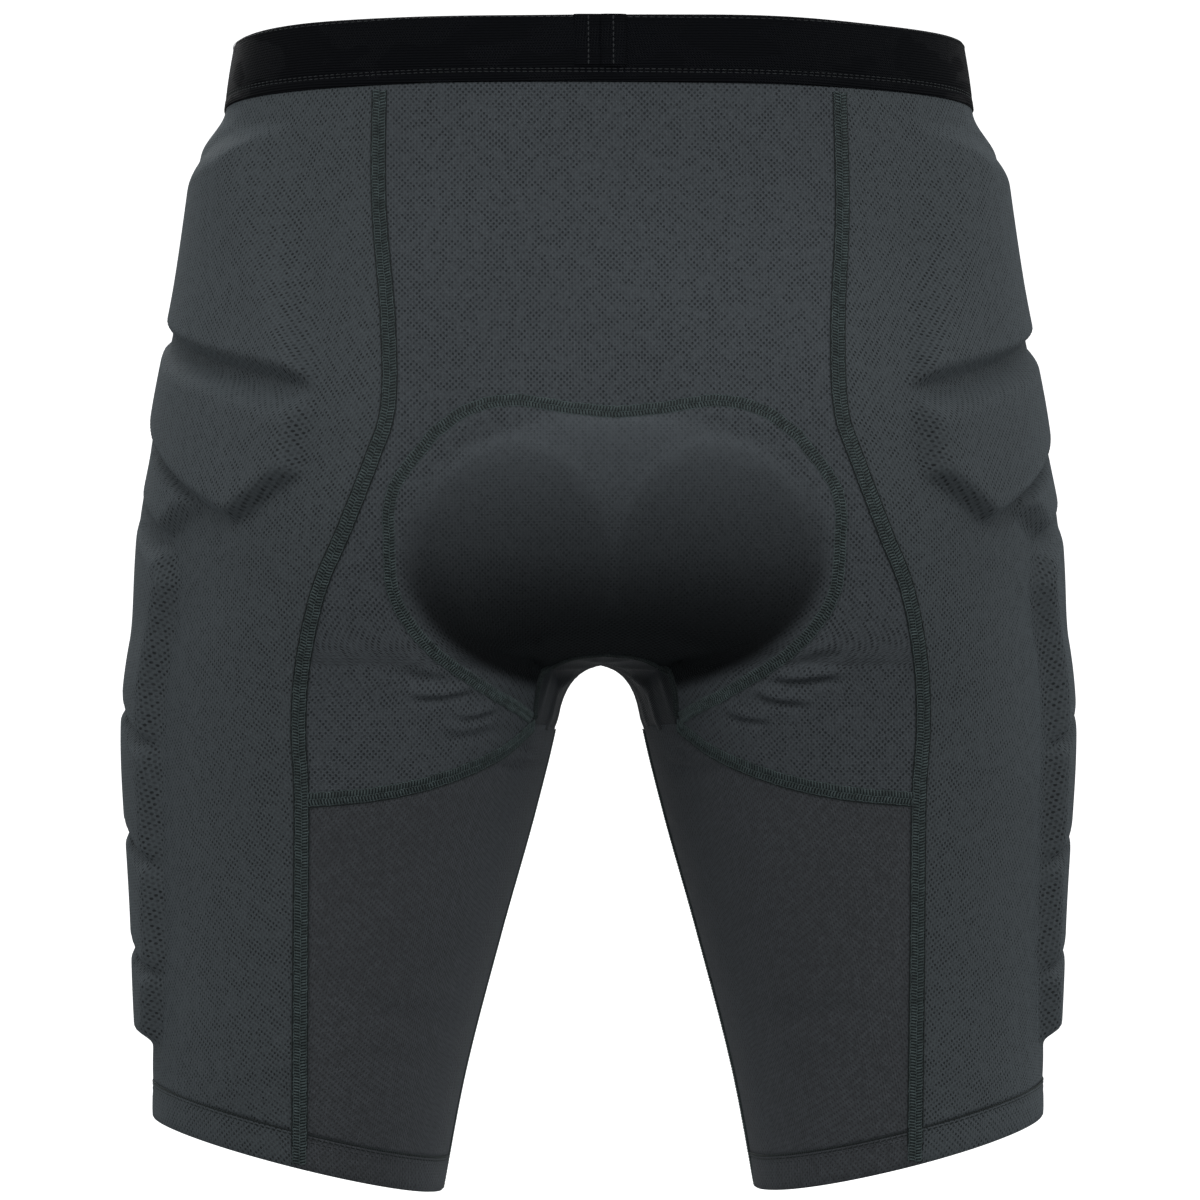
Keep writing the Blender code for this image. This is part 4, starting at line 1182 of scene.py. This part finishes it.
def side_pad(name, corners):
    """A moulded foam pad with a rounded rim, under the raised fabric."""
    middle = np.mean(corners, axis=0)
    corners = middle + (np.array(corners, float) - middle) * PAD_INSET
    low_back, low_front, high_front, high_back = corners[:4]
    back_side = np.array([low_back, *corners[:3:-1], high_back])
    across, up = evenly(26), evenly(20)
    bottom = between(low_back, low_front, across[:, None])
    top = between(high_back, high_front, across[:, None])
    right = between(low_front, high_front, up[:, None])
    left = np.stack([np.interp(up, np.linspace(0, 1, len(back_side)), c) for c in back_side.T], -1)
    places = patch(bottom, top, left, right, across, up)
    ground = skin(*split(places))
    edge = np.minimum(np.minimum(across, 1 - across)[None] * 1.4, np.minimum(up, 1 - up)[:, None])
    crown = 0.0020 + 0.0050 * np.sqrt(smooth(edge / 0.12))
    room = side_relief(*split(places))
    for axis in (0, 1):
        room = np.minimum(room, np.minimum(np.roll(room, 1, axis), np.roll(room, -1, axis)))
    outer = lifted(ground, np.clip(np.minimum(crown, room - 0.0005), 0.0, None))
    inner = lifted(ground, -0.0004)
    left = [mirrored(face)[:, ::-1] for face in (outer, inner)]
    return [closed_block("right_" + name, outer, inner), closed_block("left_" + name, *left)]


def side_pads():
    made = []
    for name, (outline, _, _) in HIP_PADS.items():
        made += side_pad(name, outline)
    for number, (low, high) in enumerate(zip(THIGH_BREAKS, THIGH_BREAKS[1:])):
        low, high = low + 0.0015, high - 0.0015
        corners = [(-25, low), (40, low), (40, high), (-25, high)]
        made += side_pad(f"thigh_pad_{len(THIGH_BREAKS) - 1 - number}", corners)
    return made


def pad_linings():
    heights = np.linspace(0.056, 0.444, 90)
    back = profile([(0.05, -48), (0.24, -48), (0.31, -74), (0.46, -62)], heights)
    turns = between(back[:, None], 62, evenly(50))
    ground = lifted(skin(turns, heights[:, None]), -0.0006)
    for hand, flip in HANDS:
        sheet(hand + "pad_lining", ground * [flip, 1, 1], "lining", thickness=0.0007)


def seat_grid(foot, head, inner, outer, across, up):
    sides = spaced(inner, up), spaced(outer, up)
    places = patch(spaced(foot, across), spaced(head, across), *sides, across, up)
    return facing(*split(places), -1)


VOXEL = 0.0042           # of the remesh before the cloth simulation
PRESSURE = 4.0
CLOTH_FRAMES = 20
SWELL = 0.0014           # how far a point of a seat lobe may move


def swollen(obj, cap):
    """The piece with its faces blown out like a filled pad, moved no further than cap."""
    remesh = obj.modifiers.new("remesh", "REMESH")
    remesh.mode = "VOXEL"
    remesh.voxel_size = VOXEL
    remesh.use_smooth_shade = True
    applied(obj)
    start = points_of(obj.data)
    cloth = obj.modifiers.new("cloth", "CLOTH")
    cloth.settings.use_pressure = True
    cloth.settings.uniform_pressure_force = PRESSURE
    cloth.settings.effector_weights.gravity = 0.0
    cloth.settings.mass = 0.2
    cloth.point_cache.frame_start, cloth.point_cache.frame_end = 1, CLOTH_FRAMES
    for number in range(1, CLOTH_FRAMES + 1):
        bpy.context.scene.frame_set(number)
    applied(obj)
    bpy.context.scene.frame_set(1)
    moved = points_of(obj.data) - start
    far = np.linalg.norm(moved, axis=1, keepdims=True)
    points = start + moved * np.minimum(1, cap / np.maximum(far, 1e-9))
    obj.data.vertices.foreach_set("co", points.astype(np.float32).ravel())
    obj.data.update()
    finer = obj.modifiers.new("finer", "SUBSURF")
    finer.levels = finer.render_levels = 1
    applied(obj)


def points_of(mesh):
    points = np.empty(len(mesh.vertices) * 3, np.float32)
    mesh.vertices.foreach_get("co", points)
    return points.reshape(-1, 3).astype(float)


def applied(obj):
    """Turns the modifiers' result into the object's own mesh."""
    bpy.context.view_layer.update()
    graph = bpy.context.evaluated_depsgraph_get()
    made = bpy.data.meshes.new_from_object(obj.evaluated_get(graph), depsgraph=graph)
    obj.modifiers.clear()
    obj.data = made
    made.shade_smooth()


def seat_pad():
    """The base of the seat pad and its two lobes of foam, swollen like filled pads."""
    even = evenly(44)
    middle = [SEAT_BASE_FOOT[0], SEAT_BASE_TOP[0]]
    half = seat_grid(SEAT_BASE_FOOT, SEAT_BASE_TOP, middle, SEAT_BASE_SIDE, even, even)
    half[:, 0, 0] = 0
    sheet("seat_pad_base", lifted(both_halves(half), -0.0086), "lining", thickness=0.0010)
    even = evenly(30)
    lobe = seat_grid(LOBE_FOOT, LOBE_TOP, LOBE_INNER, LOBE_OUTER, even, even)
    share = np.minimum(even, even[::-1])
    edge = smooth(np.minimum(share[None], share[:, None]) / 0.22)
    outer, inner = lifted(lobe, -0.0046 + 0.0020 * edge), lifted(lobe, -0.0060 - 0.0008 * edge)
    made = []
    for hand, flip in HANDS:
        grids = (outer, inner) if flip > 0 else (mirrored(outer)[:, ::-1], mirrored(inner)[:, ::-1])
        if not outward(grids[0]):
            grids = (grids[0][:, ::-1], grids[1][:, ::-1])
        obj = closed_block(hand + "seat_foam", *grids)
        swollen(obj, SWELL)
        made.append(obj)
    return made


# ---- seams ----
def seams():
    """Every flat seam, with dark rows beside the long and cross seams as painted shadow where the cloth dips,
    and the gusset seams darkened as painted shade.
    """
    for place, edge, side in (("back", BACK_SEAM, -1), ("front", FRONT_SEAM, 1)):
        whole = seam_on(edge, side, 0.002, SEAM_TOP)
        foot, head = meets(whole, hem_line), meets(whole, waist_line)
        kept = whole[(whole[:, 1] > foot[1] + 0.0006) & (whole[:, 1] < head[1] - 0.0006)]
        long_path = skin(*kept.T)
        flat = cross_line(edge)
        cross_path = facing(*flat.T, side)
        run = length_of(cross_path)
        cross_path = along(cross_path, np.linspace(0.3 * SEAM_WIDTH / run, 1 - 0.0012 / run, 80))
        for hand, flip in HANDS:
            path = long_path * [flip, 1, 1]
            flatlock(f"{hand}{place}_seam", path, under=over_hem)
            beside = flip * side * 0.53 * SEAM_WIDTH
            # near-black rows on both sides of the long seam: painted shadow where the cloth dips
            for number, aside in enumerate((beside, -beside)):
                shadow = edge_path(path, aside)
                stitch_row(f"{hand}{place}_seam_edge_{number + 1}", shadow, "seam_shadow", 0.0013, 0.0019,
                           0.0011 - 0.0003 * number, 0.0009)
            path = cross_path * [flip, 1, 1]
            flatlock(f"{hand}{place}_cross_seam", path, lift=0.0009)
            # a near-black row beside the cross seam: painted shadow
            shadow = edge_path(path, -beside)
            stitch_row(f"{hand}{place}_cross_edge", shadow, "seam_shadow", 0.0013, 0.0018, 0.0010, 0.0010)
        corners = along(gusset_line(), np.linspace(0.05, 1, 60))
        half = facing(*corners.T, side)
        path = np.concatenate([half, mirrored(half[-2::-1])])
        # the gusset seams are darkened as painted shade: a near-black band and dark cross threads
        flatlock(place + "_gusset_seam", path, width=GUSSET_SEAM_WIDTH, pitch=0.0012,
                 kinds=("seam_shadow", "dark_thread"))
    half = facing(*seat_loop().T, -1)
    path = np.concatenate([mirrored(half[:0:-1]), half])
    flatlock("seat_pad_seam", path, width=SEAT_SEAM_WIDTH)
    inside = skin(np.full(60, -180.0), np.linspace(0.0006, gusset_foot_height() - 0.001, 60))
    for hand, flip in HANDS:
        flatlock(hand + "inside_leg_seam", inside * [flip, 1, 1])


def over_hem(line):
    """How much higher a long seam stands where it crosses the hem."""
    return 0.0006 * smooth((hem_top(np.abs(line)) - line[:, 2] + 0.001) / 0.002)


def edge_path(path, aside):
    """A path moved sideways over the skin."""
    _, side, _ = frames(path)
    return path + side * aside


# ---- camera, light and floor ----
VIEW_TURN = np.radians(3)     # how far the view is turned from straight behind
VIEW_DISTANCE = 2.4
VIEW_WIDTH = 0.504            # how much the picture takes in at the object's middle
VIEW_HEIGHT = 0.2478


def camera():
    data = bpy.data.cameras.new("camera")
    data.sensor_width = 36
    data.lens = data.sensor_width * VIEW_DISTANCE / VIEW_WIDTH
    obj = placed("camera", data)
    obj.location = (-VIEW_DISTANCE * np.sin(VIEW_TURN), -VIEW_DISTANCE * np.cos(VIEW_TURN), VIEW_HEIGHT)
    obj.rotation_euler = (np.pi / 2, 0, -VIEW_TURN)
    bpy.context.scene.camera = obj


def area_light(name, place, target, size, power):
    """A round light, size metres across, that faces the target."""
    data = bpy.data.lights.new(name, "AREA")
    data.shape = "DISK"
    data.size = size
    data.energy = power
    obj = placed(name, data)
    obj.location = place
    way = np.array(target, float) - np.array(place, float)
    flat = np.hypot(way[0], way[1])
    obj.rotation_euler = (np.arctan2(flat, -way[2]), 0, np.arctan2(-way[0], way[1]))


def studio():
    """A soft pale room: dim below and bright above, with one light each way."""
    world = bpy.data.worlds.new("studio")
    world.use_nodes = True
    tree = world.node_tree
    backdrop = tree.nodes["Background"]
    place = tree.nodes.new("ShaderNodeTexCoord")
    parts = tree.nodes.new("ShaderNodeSeparateXYZ")
    span = tree.nodes.new("ShaderNodeMapRange")
    tree.links.new(place.outputs["Generated"], parts.inputs[0])
    tree.links.new(parts.outputs[2], span.inputs[0])
    for socket, value in zip(span.inputs[1:5], (-0.7, 0.9, 0.15, 0.68)):
        socket.default_value = value
    tree.links.new(span.outputs[0], backdrop.inputs["Strength"])
    backdrop.inputs["Color"].default_value = (0.97, 0.99, 1.0, 1)
    bpy.context.scene.world = world
    bpy.context.scene.view_settings.view_transform = "Standard"
    middle = (0, 0, 0.28)
    area_light("key", (0.3, -2.3, 1.4), middle, 1.6, 19)
    area_light("low_fill", (0, -2.4, -0.1), (0, 0, 0.12), 1.4, 6)
    area_light("left_fill", (-2.2, -0.9, 0.7), middle, 1.2, 10)
    area_light("right_fill", (2.2, -0.9, 0.7), middle, 1.2, 10)
    area_light("front", (-0.4, 2.2, 1.6), middle, 1.6, 20)


def floor():
    """A plain pale floor that runs up behind the object without a corner."""
    turn = np.linspace(0, np.pi / 2, 16)
    run = np.concatenate([[-6.0], 5.0 + 2.0 * np.sin(turn), [7.0]])
    rise = np.concatenate([[0.0], 2.0 - 2.0 * np.cos(turn), [9.0]]) - 0.30
    x = np.array([-9.0, 9.0])
    points = np.array([(a, y, z) for y, z in zip(run, rise) for a in x])
    mesh = bpy.data.meshes.new("floor")
    mesh.from_pydata(points.tolist(), [], grid_faces(len(run), 2).tolist())
    mesh.shade_smooth()
    finish = Finish("pale_floor", (0.9, 0.9, 0.9), 0.9)
    finish.shader.inputs["Emission Color"].default_value = (1, 1, 1, 1)
    finish.shader.inputs["Emission Strength"].default_value = 0.75
    mesh.materials.append(finish.material)
    obj = placed("floor", mesh)
    obj.visible_diffuse = False
    obj.visible_glossy = False


def main():
    camera()
    studio()
    floor()
    pads = seat_pad() + side_pads()
    pad_linings()
    centre_panel("back_panel", BACK_SEAM, -1, 74, 200, "mesh_knit_seat", back_relief)
    centre_panel("front_panel", FRONT_SEAM, 1, 50, 110, "mesh_knit", front_relief)
    side_panels()
    inner_panel("inner_back_panel", BACK_SEAM, -1)
    inner_panel("inner_front_panel", FRONT_SEAM, 1)
    gusset()
    waistband()
    waistband_join()
    hems()
    seams()


main()
